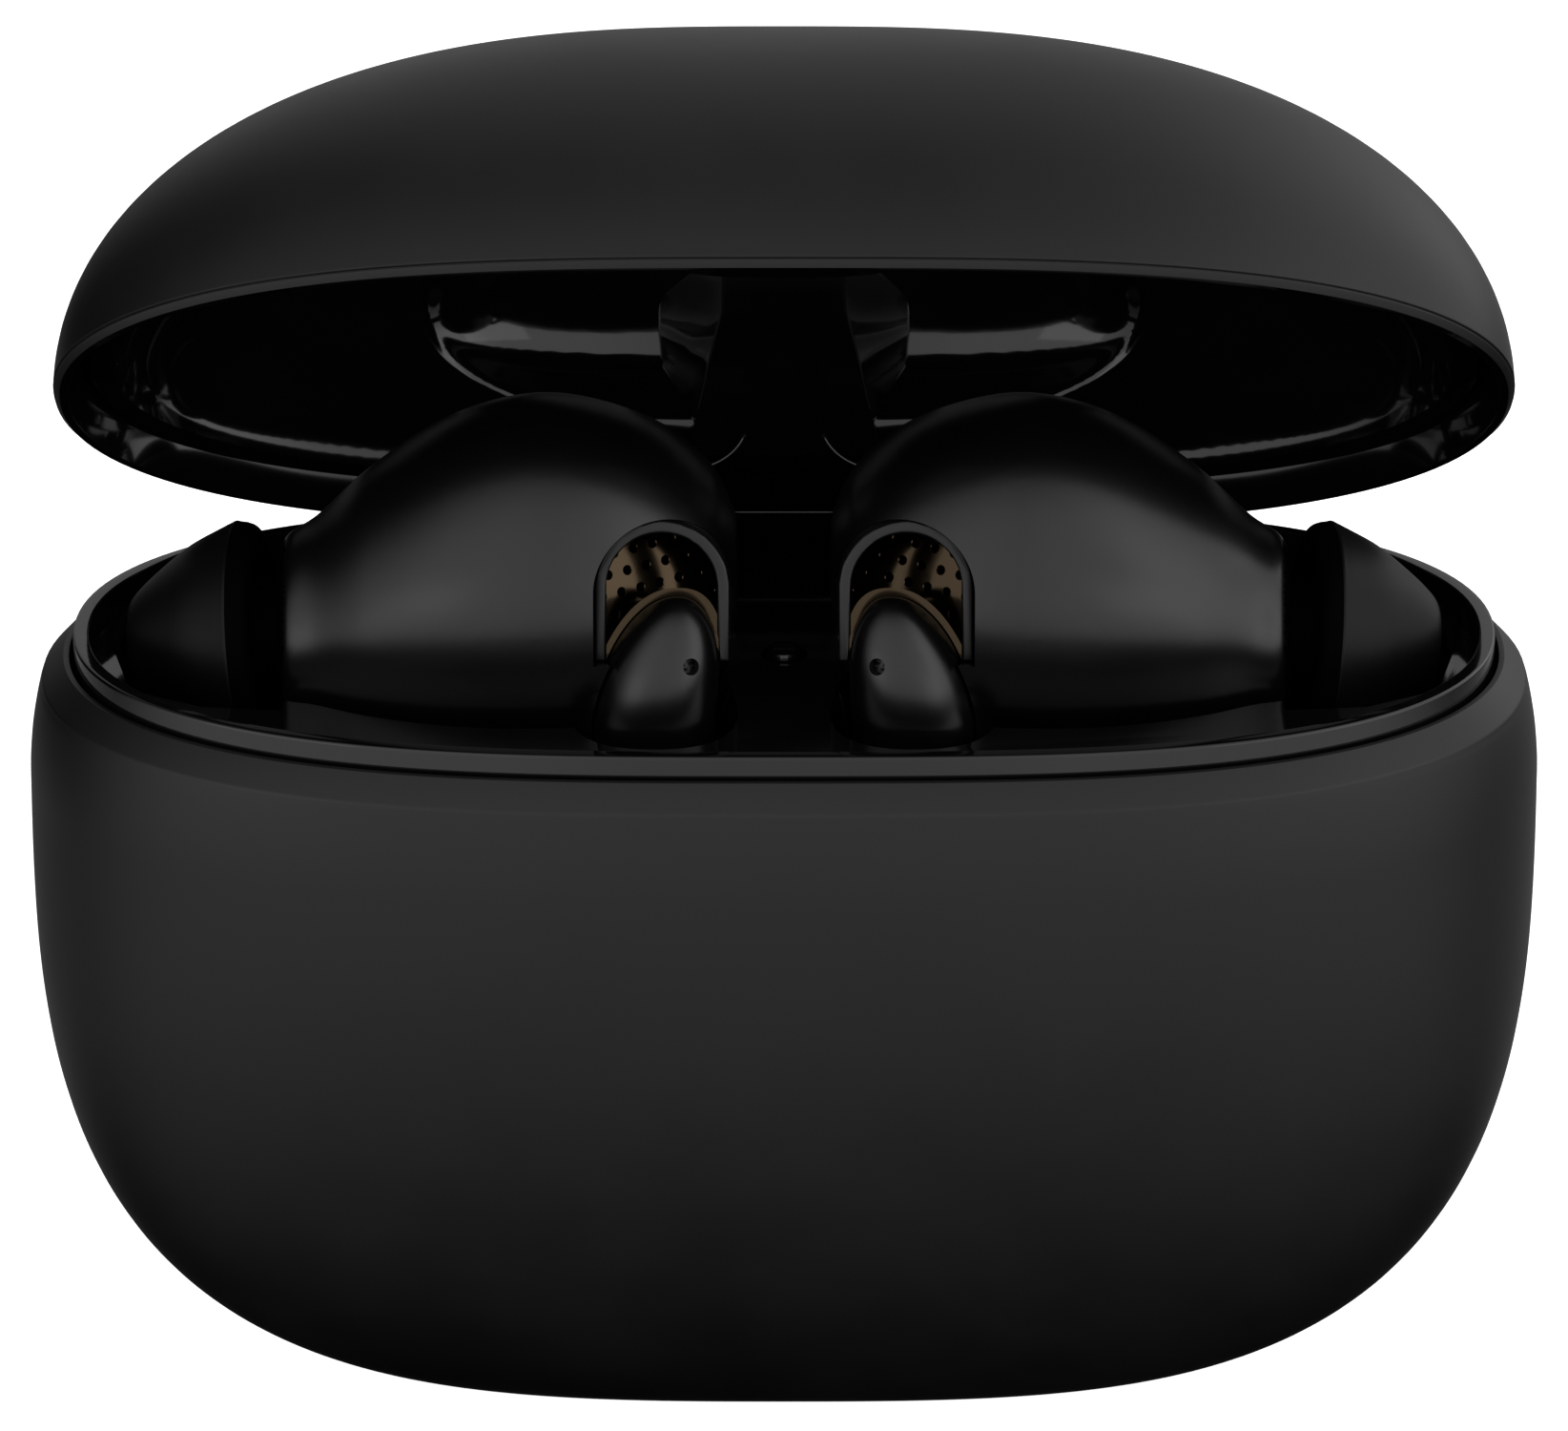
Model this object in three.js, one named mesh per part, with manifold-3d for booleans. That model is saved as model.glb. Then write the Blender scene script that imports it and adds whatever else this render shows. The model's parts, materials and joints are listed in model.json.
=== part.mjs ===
// Charging case for a pair of stemmed wireless earbuds, with both earbuds seated and the lid open.
// Millimetres, +Z up, front towards -Y. The origin is the centre of the flat foot.
// "Left" and "right" are the sides seen when facing the front of the case.

import * as THREE from "three";
import { mergeVertices } from "three/addons/utils/BufferGeometryUtils.js";
import Module from "manifold-3d";

const wasm = await Module();
wasm.setup();

// ---------------------------------------------------------------- driving dimensions

const BASE_HEIGHT = 34.0; // foot to the ledge that the closed lid meets
const LID_HEIGHT = 16.3; // lid rim to the top of the closed lid
const RIM_HALF_WIDTH = 31.0; // outline of the lid's rim
const RIM_HALF_DEPTH = 14.15;
const RIM_POWER_X = 3.1; // |x/a|^px + |y/b|^py = 1
const RIM_POWER_Y = 2.15;
const RING_SEGMENTS = 40;

const BELLY_HALF_WIDTH = 32.0; // widest section of the base
const BELLY_HALF_DEPTH = 14.82;
const BELLY_DROP = 5.3; // widest section below the ledge
const BELLY_TO_POLE = 29.4; // widest section to the virtual lowest point
const BASE_CURVE_X = 3.09; // how the half width and half depth close towards the bottom
const BASE_CURVE_Y = 2.06;
const BOWL_POWER_X = 2.82; // outline powers at the foot
const BOWL_POWER_Y = 2.81;
const BASE_WALL = 1.25;
const SHOULDER_HALF_WIDTH = 31.85; // section between the belly and the bevel
const SHOULDER_HALF_DEPTH = 14.75;
const SHOULDER_DROP = 3.1;

const CHAMFER_DROP = 1.04; // bevel around the base's mouth
const CHAMFER_OUTSET = 0.44;
const LEDGE_INSET = 0.49;
const MOUTH_INSET = 0.62; // inner edge of the base shell's mouth

const LID_CURVE_X = 2.16;
const LID_CURVE_Y = 1.96;
const LID_CROWN_POWER = 3.0; // outline power at the top of the lid
const LID_RIM_WALL = 0.65;
const LID_WALL = 1.1;
const LID_REST_GAP = 0.12; // closed lid above the ledge
const LID_Z = BASE_HEIGHT + LID_REST_GAP; // rim of the closed lid
const LINER_GAP = 0.35;
const LINER_START = 1.45; // liner's edge above the lid rim
const LINER_WALL = 0.55; // least thickness around the hollows
const HOLLOW_POWER = 2.8; // the liner's two hollows: rows of height above the rim, half width, half depth
const DEEP_HOLLOW = [[-1, 16.6, 10.8], [6, 16.5, 10.7], [8, 15.7, 9.8], [10.2, 13.6, 7.5], [13.3, 8, 2.5]];
const SHALLOW_HOLLOW = [
  [-1, 28.7, 11.8], [2.3, 28.6, 11.7], [5.4, 26.2, 9.2], [8.9, 20.9, 5.6], [10.6, 15.9, 2.9],
];
const FRONT_PAD = { x: 5.2, y: 2.6, power: 3, centre: -12.2, bottom: 1.0, top: 6.5 }; // holds the magnet
const BACK_PAD = [[0.9, 4.4, 9.3], [4.4, 3.9, 8.5], [8.8, 3.2, 7.6], [14.2, 2.0, 3.0]]; // z, half width, y
const LID_MAGNET_SIZE = [8, 1.8, 1.8];
const LID_MAGNET_AT = [0, -11.1, LID_Z + 3.1];
const LID_MAGNET_ROOM = [8.6, 3.2, 2.4];

const LIP_INSET = 0.92; // raised lip of the cradle, inside the lid when it is closed
const LIP_WALL = 0.65;
const LIP_HEIGHT = 0.98;
const DECK_DROP = 0.6; // cradle deck below the ledge
const DECK_THICKNESS = 1.0;
const SKIRT_INSET = 1.9;
const SKIRT_DROP = 7.0;
const DECK_Z = BASE_HEIGHT - DECK_DROP;
const POCKET_GAP = 0.7;
const POCKET_WALL = 0.8;

const LID_OPEN_ANGLE = THREE.MathUtils.degToRad(46.5);
const HINGE_Y = 13.17;
const HINGE_DROP = 1.08; // hinge axis below the ledge
const HINGE_HALF_WIDTH = 3.2;
const HINGE_NOTCH_HALF_WIDTH = 3.6;
const HINGE_Z = BASE_HEIGHT - HINGE_DROP;
const HINGE_PIN_RADIUS = 0.4;
const HINGE_PIN_LENGTH = 10.6;
const HINGE_BORE_RADIUS = 0.52;
const KNUCKLE_RADIUS = 0.8;
const KNUCKLE_LENGTH = 1.9;
const KNUCKLE_X = HINGE_HALF_WIDTH - KNUCKLE_LENGTH / 2;
const LUG_SIZE = [1.8, 1.3, 2.1]; // cradle blocks that hold the pin's ends
const LUG_X = 4.5;
const SCREW_PLACES = [[2, LID_Z + 2.7], [-2, LID_Z + 2.7]]; // x and z, in the hinge arm's plate
const SCREW_HOLE_RADIUS = 0.42;
const SPRING_TURNS = 5;
const SPRING_LENGTH = 1.9;
const SPRING_RADIUS = 0.6;
const SPRING_WIRE_RADIUS = 0.1;

const STEM_X = 5.45; // earbud stem, a vertical rod with a domed top
const STEM_Y = -5.25;
const STEM_HALF_WIDTH = 2.55;
const STEM_HALF_DEPTH = 2.75;
const STEM_TOP = 4.6; // heights in an earbud are measured from the ledge
const STEM_DOME = 3.4;
const STEM_BOTTOM = -20.3;
const STEM_WALL = 0.7;
const STEM_POWER = 2.4;
const STEM_CLEARANCE = 0.3; // between the stem and the pieces around it
const STEM_LEAN_START = -0.6; // the top of the stem leans towards the middle of the case
const STEM_LEAN = [0.13, 0.012];

const ALCOVE_X = 5.13; // arched recess above the stem
const ALCOVE_Y = -4.9;
const ALCOVE_Z = 3.0;
const ALCOVE_LEAN = THREE.MathUtils.degToRad(14);
const ARCH_HALF_WIDTH = 2.83;
const ARCH_BAND = 0.5;
const ARCH_RISE = 4.7;
const ARCH_DROP = 1.3; // bezel's legs below the alcove's middle
const PLATE_TURN = THREE.MathUtils.degToRad(40); // grille, towards the middle of the case
const PLATE_THICKNESS = 0.3;
const PLATE_MARGIN = 0.55; // inside the bezel's outer edge

const MICROPHONE_X = 3.85;
const MICROPHONE_Y = -7.35;
const MICROPHONE_Z = 2.45;
const MICROPHONE_RADIUS = 0.36;
const MICROPHONE_TURN = THREE.MathUtils.degToRad(29);

const NOZZLE_X = 20.6; // where the nozzle leaves the housing
const NOZZLE_Y = 0.8;
const NOZZLE_Z = 0.4;
const NOZZLE_TURN = THREE.MathUtils.degToRad(6); // towards the back
const NOZZLE_DIP = THREE.MathUtils.degToRad(6);
const NOZZLE_RADIUS = 2.4;
const NOZZLE_BORE = 1.7;
const NOZZLE_START = 19.8;
const NOZZLE_END = 24.5;

const DRIVER_Z = 2.0; // parts inside each earbud
const CELL_RADIUS = 4.2;
const CELL_LENGTH = 3.8;
const CELL_AT = [12.0, 1.0, 3.1];
const BUD_BOARD_RADIUS = 4.4;
const BUD_BOARD_LENGTH = 0.8;
const BUD_BOARD_AT = [9.3, 1.2, 3.3];
const ANTENNA_SIZE = [3.0, 0.3, 16.5];
const ANTENNA_AT = [STEM_X, STEM_Y + 0.9, -8.6];

const PIN_SPACING = 2.4; // charging contacts under each stem
const PIN_RADIUS = 0.45;
const CONTACT_RADIUS = 0.55;
const CONTACT_HEIGHT = 0.35;
const CONTACT_PLACES = [[STEM_X, STEM_Y + PIN_SPACING / 2], [STEM_X, STEM_Y - PIN_SPACING / 2]];
const CONTACT_BLOCK_SIZE = [4.6, 5.6, 2.6];
const CONTACT_BLOCK_DROP = 2.8;

const PORT_Z = 15.6; // charging socket in the back wall
const PORT_WIDTH = 9.6;
const PORT_HEIGHT = 3.9;
const SOCKET_WIDTH = 8.9;
const SOCKET_HEIGHT = 3.2;
const SOCKET_WALL = 0.3;
const SOCKET_LENGTH = 8.2;
const SOCKET_FACE_Y = 12.4;
const TONGUE_SIZE = [6.6, 6.2, 0.7];
const TONGUE_Y = 8.3;

const BATTERY_SIZE = [33, 8.4, 5.8]; // parts inside the case
const BATTERY_CORNER = 1.2;
const BATTERY_AT = [0, 0, 6.3];
const MAIN_BOARD_SIZE = [26, 0.8, 14.4];
const MAIN_BOARD_AT = [0, 3.4, 19.8];
const CHIP_SIZE = [4, 0.8, 4];
const CHIP_AT = [7, 4.5, 23];
const BUTTON_Y = 0.8;
const BUTTON_BORE = 1.0;
const BUTTON_BOARD_SIZE = [5, 6.4, 0.6];
const BUTTON_BOARD_AT = [0, BUTTON_Y + 0.6, DECK_Z - 5.0];
const SWITCH_SIZE = [2.6, 2.6, 1.2];
const SWITCH_AT = [0, BUTTON_Y, DECK_Z - 3.8];
const BASE_MAGNET_SIZE = [8, 1.8, 2];
const BASE_MAGNET_AT = [0, -11, DECK_Z - 2.6];
const BUD_MAGNET_RADIUS = 1.6;
const BUD_MAGNET_HEIGHT = 1.5;
const BUD_MAGNET_X = 13;
const BUD_MAGNET_DROP = 6.6;

// ---------------------------------------------------------------- materials

function material(color, roughness, metalness = 0) {
  return new THREE.MeshStandardMaterial({ color, roughness, metalness });
}

const satinBlack = () => material(0x1c1c1d, 0.5);
const glossBlack = () => material(0x050506, 0.12);
const softRubber = () => material(0x141415, 0.6);
const bronze = () => material(0x7a5532, 0.25, 0.9);
const gold = () => material(0xc79a4b, 0.3, 1.0);
const steel = () => material(0x9a9da0, 0.35, 1.0);
const boardGreen = () => material(0x123a24, 0.6);
const foilGrey = () => material(0x8c8f94, 0.4, 0.6);
const darkMesh = () => material(0x101011, 0.7, 0.4);

// ---------------------------------------------------------------- geometry helpers

// A closed geometry as a solid for joining and cutting.
function solid(geometry) {
  const bare = geometry.clone();
  bare.deleteAttribute("normal");
  bare.deleteAttribute("uv");
  const merged = mergeVertices(bare, 1e-4);
  const index = merged.index.array;
  const kept = [];
  for (let i = 0; i < index.length; i += 3) {
    const [a, b, c] = [index[i], index[i + 1], index[i + 2]];
    if (a !== b && b !== c && c !== a) kept.push(a, b, c);
  }
  const vertProperties = new Float32Array(merged.attributes.position.array);
  const triVerts = new Uint32Array(kept);
  return new wasm.Manifold(new wasm.Mesh({ numProp: 3, vertProperties, triVerts }));
}

function geometryOf(body) {
  const mesh = body.getMesh();
  const geometry = new THREE.BufferGeometry();
  geometry.setAttribute("position", new THREE.BufferAttribute(mesh.vertProperties, 3));
  geometry.setIndex(new THREE.BufferAttribute(mesh.triVerts, 1));
  geometry.computeVertexNormals();
  return geometry;
}

function joined(...bodies) {
  return bodies.reduce((whole, body) => whole.add(body));
}

function cut(body, ...tools) {
  return tools.reduce((rest, tool) => rest.subtract(tool), body);
}

// Skins a stack of rings and closes both ends. Rings run anticlockwise seen from ahead.
function loft(rings) {
  const count = rings[0].length;
  const positions = rings.flat().flatMap((p) => [p.x, p.y, p.z]);
  const indices = [];
  for (let i = 0; i < rings.length - 1; i += 1) {
    for (let j = 0; j < count; j += 1) {
      const a = i * count + j;
      const b = i * count + ((j + 1) % count);
      indices.push(a, b, b + count, a, b + count, a + count);
    }
  }
  for (const [ring, offset, flip] of [
    [rings[0], 0, true],
    [rings.at(-1), (rings.length - 1) * count, false],
  ]) {
    const centre = ring.reduce((sum, p) => sum.add(p), new THREE.Vector3()).divideScalar(count);
    const hub = positions.length / 3;
    positions.push(centre.x, centre.y, centre.z);
    for (let j = 0; j < count; j += 1) {
      const a = offset + j;
      const b = offset + ((j + 1) % count);
      indices.push(hub, ...(flip ? [b, a] : [a, b]));
    }
  }
  const geometry = new THREE.BufferGeometry();
  geometry.setAttribute("position", new THREE.Float32BufferAttribute(positions, 3));
  geometry.setIndex(indices);
  return geometry;
}

// Superellipse outline of the case, evenly spaced along its length.
class Outline extends THREE.Curve {
  constructor(a, b, px, py) {
    super();
    Object.assign(this, { a, b, px, py, arcLengthDivisions: 720 });
  }

  getPoint(t, target = new THREE.Vector3()) {
    const c = Math.cos(2 * Math.PI * t);
    const s = Math.sin(2 * Math.PI * t);
    const x = this.a * Math.sign(c) * Math.abs(c) ** (2 / this.px);
    const y = this.b * Math.sign(s) * Math.abs(s) ** (2 / this.py);
    return target.set(x, y, 0);
  }

  // One ring of points at height z, moved inwards by inset.
  ring(z, inset = 0) {
    return this.getSpacedPoints(RING_SEGMENTS).slice(0, -1).map((p) => {
      const nx = (this.px / this.a) * Math.sign(p.x) * Math.abs(p.x / this.a) ** (this.px - 1);
      const ny = (this.py / this.b) * Math.sign(p.y) * Math.abs(p.y / this.b) ** (this.py - 1);
      const amount = inset / Math.hypot(nx, ny);
      return new THREE.Vector3(p.x - nx * amount, p.y - ny * amount, z);
    });
  }
}

const rim = new Outline(RIM_HALF_WIDTH, RIM_HALF_DEPTH, RIM_POWER_X, RIM_POWER_Y);

function box(width, depth, height, x, y, z) {
  return new THREE.BoxGeometry(width, depth, height).translate(x, y, z);
}

function cylinder(radius, length, axis, x, y, z, segments = 20) {
  const geometry = new THREE.CylinderGeometry(radius, radius, length, segments);
  if (axis === "x") geometry.rotateZ(Math.PI / 2);
  if (axis === "z") geometry.rotateX(Math.PI / 2);
  return geometry.translate(x, y, z);
}

// Turns [radius, height] pairs about Z.
function turned(profile, segments = 20) {
  const points = profile.map(([r, h]) => new THREE.Vector2(r, h));
  return new THREE.LatheGeometry(points, segments).rotateX(Math.PI / 2);
}

// Turns [radius, distance] pairs about +X.
function turnedAlongX(profile, segments = 32) {
  return turned(profile, segments).rotateY(Math.PI / 2);
}

function roundedBox(width, depth, height, radius, x, y, z) {
  const shape = new THREE.Shape();
  const [w, d] = [width / 2 - radius, depth / 2 - radius];
  shape.absarc(w, d, radius, 0, Math.PI / 2);
  shape.absarc(-w, d, radius, Math.PI / 2, Math.PI);
  shape.absarc(-w, -d, radius, Math.PI, 1.5 * Math.PI);
  shape.absarc(w, -d, radius, 1.5 * Math.PI, 2 * Math.PI);
  const options = { depth: height, bevelEnabled: false, curveSegments: 5 };
  return new THREE.ExtrudeGeometry(shape, options).translate(x, y, z - height / 2);
}

// A copy reflected from the right side of the case to the left.
function mirrored(geometry) {
  const copy = geometry.index ? geometry.clone() : mergeVertices(geometry);
  copy.scale(-1, 1, 1);
  const index = copy.index.array;
  for (let i = 0; i < index.length; i += 3) {
    [index[i], index[i + 1]] = [index[i + 1], index[i]];
  }
  return copy;
}

// ---------------------------------------------------------------- case base

function closing(t, power) {
  return (1 - t ** power) ** (1 / power);
}

// Section of the base's bowl at a fraction t of the way from the belly to the pole.
function bowlRing(t, wall) {
  const blend = t * t;
  const px = THREE.MathUtils.lerp(RIM_POWER_X, BOWL_POWER_X, blend);
  const py = THREE.MathUtils.lerp(RIM_POWER_Y, BOWL_POWER_Y, blend);
  const a = (BELLY_HALF_WIDTH - wall) * closing(t, BASE_CURVE_X);
  const b = (BELLY_HALF_DEPTH - wall) * closing(t, BASE_CURVE_Y);
  const z = BASE_HEIGHT - BELLY_DROP - t * (BELLY_TO_POLE - wall * 1.1);
  return new Outline(a, b, px, py).ring(z);
}

function baseShell() {
  const steps = 8;
  const footFraction = (BASE_HEIGHT - BELLY_DROP) / BELLY_TO_POLE;
  const footAngle = Math.asin(footFraction);
  const fractions = Array.from({ length: steps + 1 }, (_, i) => Math.sin(footAngle * (1 - i / steps)));
  const chamferFoot = BASE_HEIGHT - CHAMFER_DROP;
  const shoulder = new Outline(SHOULDER_HALF_WIDTH, SHOULDER_HALF_DEPTH, RIM_POWER_X, RIM_POWER_Y);
  const rings = [
    ...fractions.map((t) => bowlRing(t, 0)),
    shoulder.ring(BASE_HEIGHT - SHOULDER_DROP),
    rim.ring(chamferFoot, -CHAMFER_OUTSET),
    rim.ring(BASE_HEIGHT, LEDGE_INSET),
    rim.ring(BASE_HEIGHT, MOUTH_INSET),
    rim.ring(BASE_HEIGHT - SHOULDER_DROP, MOUTH_INSET),
    ...fractions.toReversed().map((t) => bowlRing(t, BASE_WALL)),
  ];
  const notchWidth = 2 * HINGE_NOTCH_HALF_WIDTH;
  const pinRoomLength = HINGE_PIN_LENGTH + 0.8;
  const knuckleRoom = cylinder(KNUCKLE_RADIUS + 0.35, notchWidth, "x", 0, HINGE_Y, HINGE_Z);
  const armRoom = box(notchWidth, 2.2, 3, 0, HINGE_Y - 0.8, HINGE_Z + 1.5);
  const pinRoom = cylinder(HINGE_PIN_RADIUS + 0.3, pinRoomLength, "x", 0, HINGE_Y, HINGE_Z);
  const pinDrop = box(pinRoomLength, 1.4, 2.5, 0, HINGE_Y - 0.7, HINGE_Z - 0.55);
  const port = stadiumPrism(PORT_WIDTH, PORT_HEIGHT, 6, BELLY_HALF_DEPTH + 1);
  return cut(solid(loft(rings)), ...[knuckleRoom, armRoom, pinRoom, pinDrop, port].map(solid));
}

function stadium(width, height) {
  const radius = height / 2;
  const shape = new THREE.Shape();
  shape.absarc(width / 2 - radius, 0, radius, -Math.PI / 2, Math.PI / 2);
  shape.absarc(radius - width / 2, 0, radius, Math.PI / 2, 1.5 * Math.PI);
  return shape;
}

// A stadium section at the socket's height, running forwards from its back face at y.
function stadiumPrism(width, height, length, y) {
  const options = { depth: length, bevelEnabled: false, curveSegments: 6 };
  const geometry = new THREE.ExtrudeGeometry(stadium(width, height), options);
  return geometry.rotateX(Math.PI / 2).translate(0, y, PORT_Z);
}

function cradleTray() {
  const bottom = BASE_HEIGHT - SKIRT_DROP;
  const lipTop = BASE_HEIGHT + LIP_HEIGHT;
  const body = solid(loft([
    rim.ring(bottom, LIP_INSET),
    rim.ring(lipTop - 0.15, LIP_INSET),
    rim.ring(lipTop, LIP_INSET + 0.12),
    rim.ring(lipTop, LIP_INSET + LIP_WALL),
    rim.ring(DECK_Z, LIP_INSET + LIP_WALL),
  ]));
  const underside = solid(loft([
    rim.ring(bottom - 1, SKIRT_INSET),
    rim.ring(DECK_Z - DECK_THICKNESS, SKIRT_INSET),
  ]));
  const aboveDeck = solid(box(70, 40, 20, 0, 0, DECK_Z - 0.02 + 10));
  const wallGrow = POCKET_GAP + POCKET_WALL;
  const walls = [1, -1].map((side) => cut(placedEnvelope(side, wallGrow), aboveDeck));
  const hollows = [1, -1].map((side) => placedEnvelope(side, POCKET_GAP));
  const lugY = HINGE_Y - LUG_SIZE[1] / 2;
  const lugs = [1, -1].map((side) => solid(box(...LUG_SIZE, side * LUG_X, lugY, HINGE_Z)));
  const notch = box(2 * HINGE_NOTCH_HALF_WIDTH, 3, 6, 0, HINGE_Y - 0.4, HINGE_Z + 1);
  const pinBore = cylinder(HINGE_BORE_RADIUS, HINGE_PIN_LENGTH + 0.6, "x", 0, HINGE_Y, HINGE_Z);
  const buttonBore = cylinder(BUTTON_BORE, 4, "z", 0, BUTTON_Y, DECK_Z);
  const pinHoles = [1, -1].flatMap((side) => pinPlaces(side).map(([x, y]) => (
    cylinder(PIN_RADIUS + 0.2, 4, "z", x, y, BASE_HEIGHT + STEM_BOTTOM - 1.5)
  )));
  const tools = [notch, pinBore, buttonBore, ...pinHoles].map(solid);
  return cut(joined(cut(body, underside), ...walls, ...lugs), ...hollows, ...tools);
}

// ---------------------------------------------------------------- lid, drawn closed

function lidRing(t, wall) {
  const blend = t * t;
  const px = THREE.MathUtils.lerp(RIM_POWER_X, LID_CROWN_POWER, blend);
  const py = THREE.MathUtils.lerp(RIM_POWER_Y, LID_CROWN_POWER, blend);
  const a = (RIM_HALF_WIDTH - wall) * closing(t, LID_CURVE_X);
  const b = (RIM_HALF_DEPTH - wall) * closing(t, LID_CURVE_Y);
  const z = LID_Z + t * (LID_HEIGHT - wall);
  return new Outline(a, b, px, py).ring(z);
}

function risingFractions(start, steps) {
  const first = Math.asin(start);
  const last = Math.asin(0.995);
  return Array.from({ length: steps + 1 }, (_, i) => Math.sin(first + ((last - first) * i) / steps));
}

function lidShell() {
  const rings = [
    ...risingFractions(0.16, 6).toReversed().map((t) => lidRing(t, LID_WALL)),
    rim.ring(LID_Z, LID_RIM_WALL),
    ...risingFractions(0, 8).map((t) => lidRing(t, 0)),
  ];
  const screwHoles = SCREW_PLACES.map(([x, z]) => cylinder(SCREW_HOLE_RADIUS, 1.9, "y", x, 12.6, z, 12));
  return cut(solid(loft(rings)), ...screwHoles.map(solid));
}

function hollow(rows) {
  return solid(loft(rows.map(([z, a, b]) => new Outline(a, b, HOLLOW_POWER, HOLLOW_POWER).ring(LID_Z + z))));
}

// Pad in the middle of the liner's back wall.
function backPad() {
  return solid(loft(BACK_PAD.map(([z, halfWidth, front]) => {
    const corners = [[-1, front], [1, front], [1, RIM_HALF_DEPTH], [-1, RIM_HALF_DEPTH]];
    return corners.map(([side, y]) => new THREE.Vector3(side * halfWidth, y, LID_Z + z));
  })));
}

function lidLiner() {
  const outerWall = LID_WALL + LINER_GAP;
  const fractions = risingFractions(LINER_START / (LID_HEIGHT - outerWall), 6);
  const body = solid(loft(fractions.map((t) => lidRing(t, outerWall))));
  const mouth = rim.ring(LID_Z - 0.5, outerWall + LINER_WALL);
  const limit = solid(loft([mouth, ...fractions.map((t) => lidRing(t, outerWall + LINER_WALL))]));
  const magnetPad = solid(loft([FRONT_PAD.bottom, FRONT_PAD.top].map((z) => (
    new Outline(FRONT_PAD.x, FRONT_PAD.y, FRONT_PAD.power, FRONT_PAD.power).ring(LID_Z + z)
  )))).translate([0, FRONT_PAD.centre, 0]);
  const room = joined(hollow(DEEP_HOLLOW), hollow(SHALLOW_HOLLOW)).intersect(limit);
  const armNotch = box(2 * HINGE_NOTCH_HALF_WIDTH, 3, 7, 0, 12.4, LID_Z + 2);
  const magnetRoom = box(...LID_MAGNET_ROOM, 0, LID_MAGNET_AT[1] - 0.4, LID_MAGNET_AT[2]);
  return cut(body, cut(room, backPad(), magnetPad), solid(armNotch), solid(magnetRoom));
}

function hingeArm() {
  const plate = box(2 * HINGE_HALF_WIDTH, 0.8, 4.6, 0, 11.9, HINGE_Z + 2.8);
  const webs = [1, -1].map((side) => box(KNUCKLE_LENGTH, 1.4, 1.4, side * KNUCKLE_X, 12.3, HINGE_Z + 0.1));
  const knuckles = [1, -1].map((side) => (
    cylinder(KNUCKLE_RADIUS, KNUCKLE_LENGTH, "x", side * KNUCKLE_X, HINGE_Y, HINGE_Z)
  ));
  const bore = cylinder(HINGE_BORE_RADIUS, 8, "x", 0, HINGE_Y, HINGE_Z);
  const screwHoles = SCREW_PLACES.map(([x, z]) => cylinder(SCREW_HOLE_RADIUS, 3, "y", x, 12, z, 12));
  const whole = joined(...[plate, ...webs, ...knuckles].map(solid));
  return cut(whole, ...[bore, ...screwHoles].map(solid));
}

function screw(x, z) {
  const profile = [[0, 0], [0.3, 0], [0.3, 1.6], [0.7, 1.6], [0.62, 1.95], [0, 1.95]];
  return turned(profile, 16).rotateX(Math.PI / 2).translate(x, 13.0, z);
}

// Torsion spring around the hinge pin, between the lid's two knuckles.
class Helix extends THREE.Curve {
  getPoint(t, target = new THREE.Vector3()) {
    const angle = 2 * Math.PI * SPRING_TURNS * t;
    const x = SPRING_LENGTH * (t - 0.5);
    return target.set(x, SPRING_RADIUS * Math.cos(angle), SPRING_RADIUS * Math.sin(angle));
  }
}

function hingeSpring() {
  const wire = new THREE.Shape().absarc(0, 0, SPRING_WIRE_RADIUS, 0, 2 * Math.PI);
  const options = { steps: 45, extrudePath: new Helix(), curveSegments: 3 };
  return new THREE.ExtrudeGeometry(wire, options).translate(0, HINGE_Y, HINGE_Z);
}

// ---------------------------------------------------------------- earbuds, drawn for the right side

// Housing sections along X: x, centre y, centre z, half depth, half height.
const HOUSING_SECTIONS = [
  [2.0, 1.1, 3.35, 2.4, 2.2],
  [3.0, 1.0, 3.4, 4.5, 4.2],
  [4.8, 0.9, 3.45, 6.1, 5.8],
  [7.4, 0.8, 3.5, 7.1, 6.9],
  [10.4, 0.8, 3.4, 7.4, 7.45],
  [14.0, 0.8, 2.8, 7.0, 7.1],
  [17.5, 0.8, 1.7, 5.8, 5.9],
  [19.9, 0.8, 0.75, 4.5, 4.6],
  [21.0, 0.8, 0.45, 4.1, 4.2],
  [21.4, 0.8, 0.4, 3.4, 3.5],
];

function sectionRing([x, y, z, ry, rz], grow, segments) {
  return Array.from({ length: segments }, (_, j) => {
    const angle = (2 * Math.PI * j) / segments;
    return new THREE.Vector3(x, y + (ry + grow) * Math.cos(angle), z + (rz + grow) * Math.sin(angle));
  });
}

function housingBulb(grow, segments = 18) {
  const centres = HOUSING_SECTIONS.map(([x, y, z]) => new THREE.Vector3(x, y, z));
  const halfSizes = HOUSING_SECTIONS.map(([, , , ry, rz]) => new THREE.Vector3(ry, rz, 0));
  const places = new THREE.CatmullRomCurve3(centres);
  const sizes = new THREE.CatmullRomCurve3(halfSizes);
  const steps = 11;
  const sections = Array.from({ length: steps + 1 }, (_, i) => {
    const place = places.getPoint(i / steps);
    const size = sizes.getPoint(i / steps);
    return [place.x, place.y, place.z, size.x, size.y];
  });
  sections[0][0] -= grow;
  sections[steps][0] += grow;
  return loft(sections.map((section) => sectionRing(section, grow, segments)));
}

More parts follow.
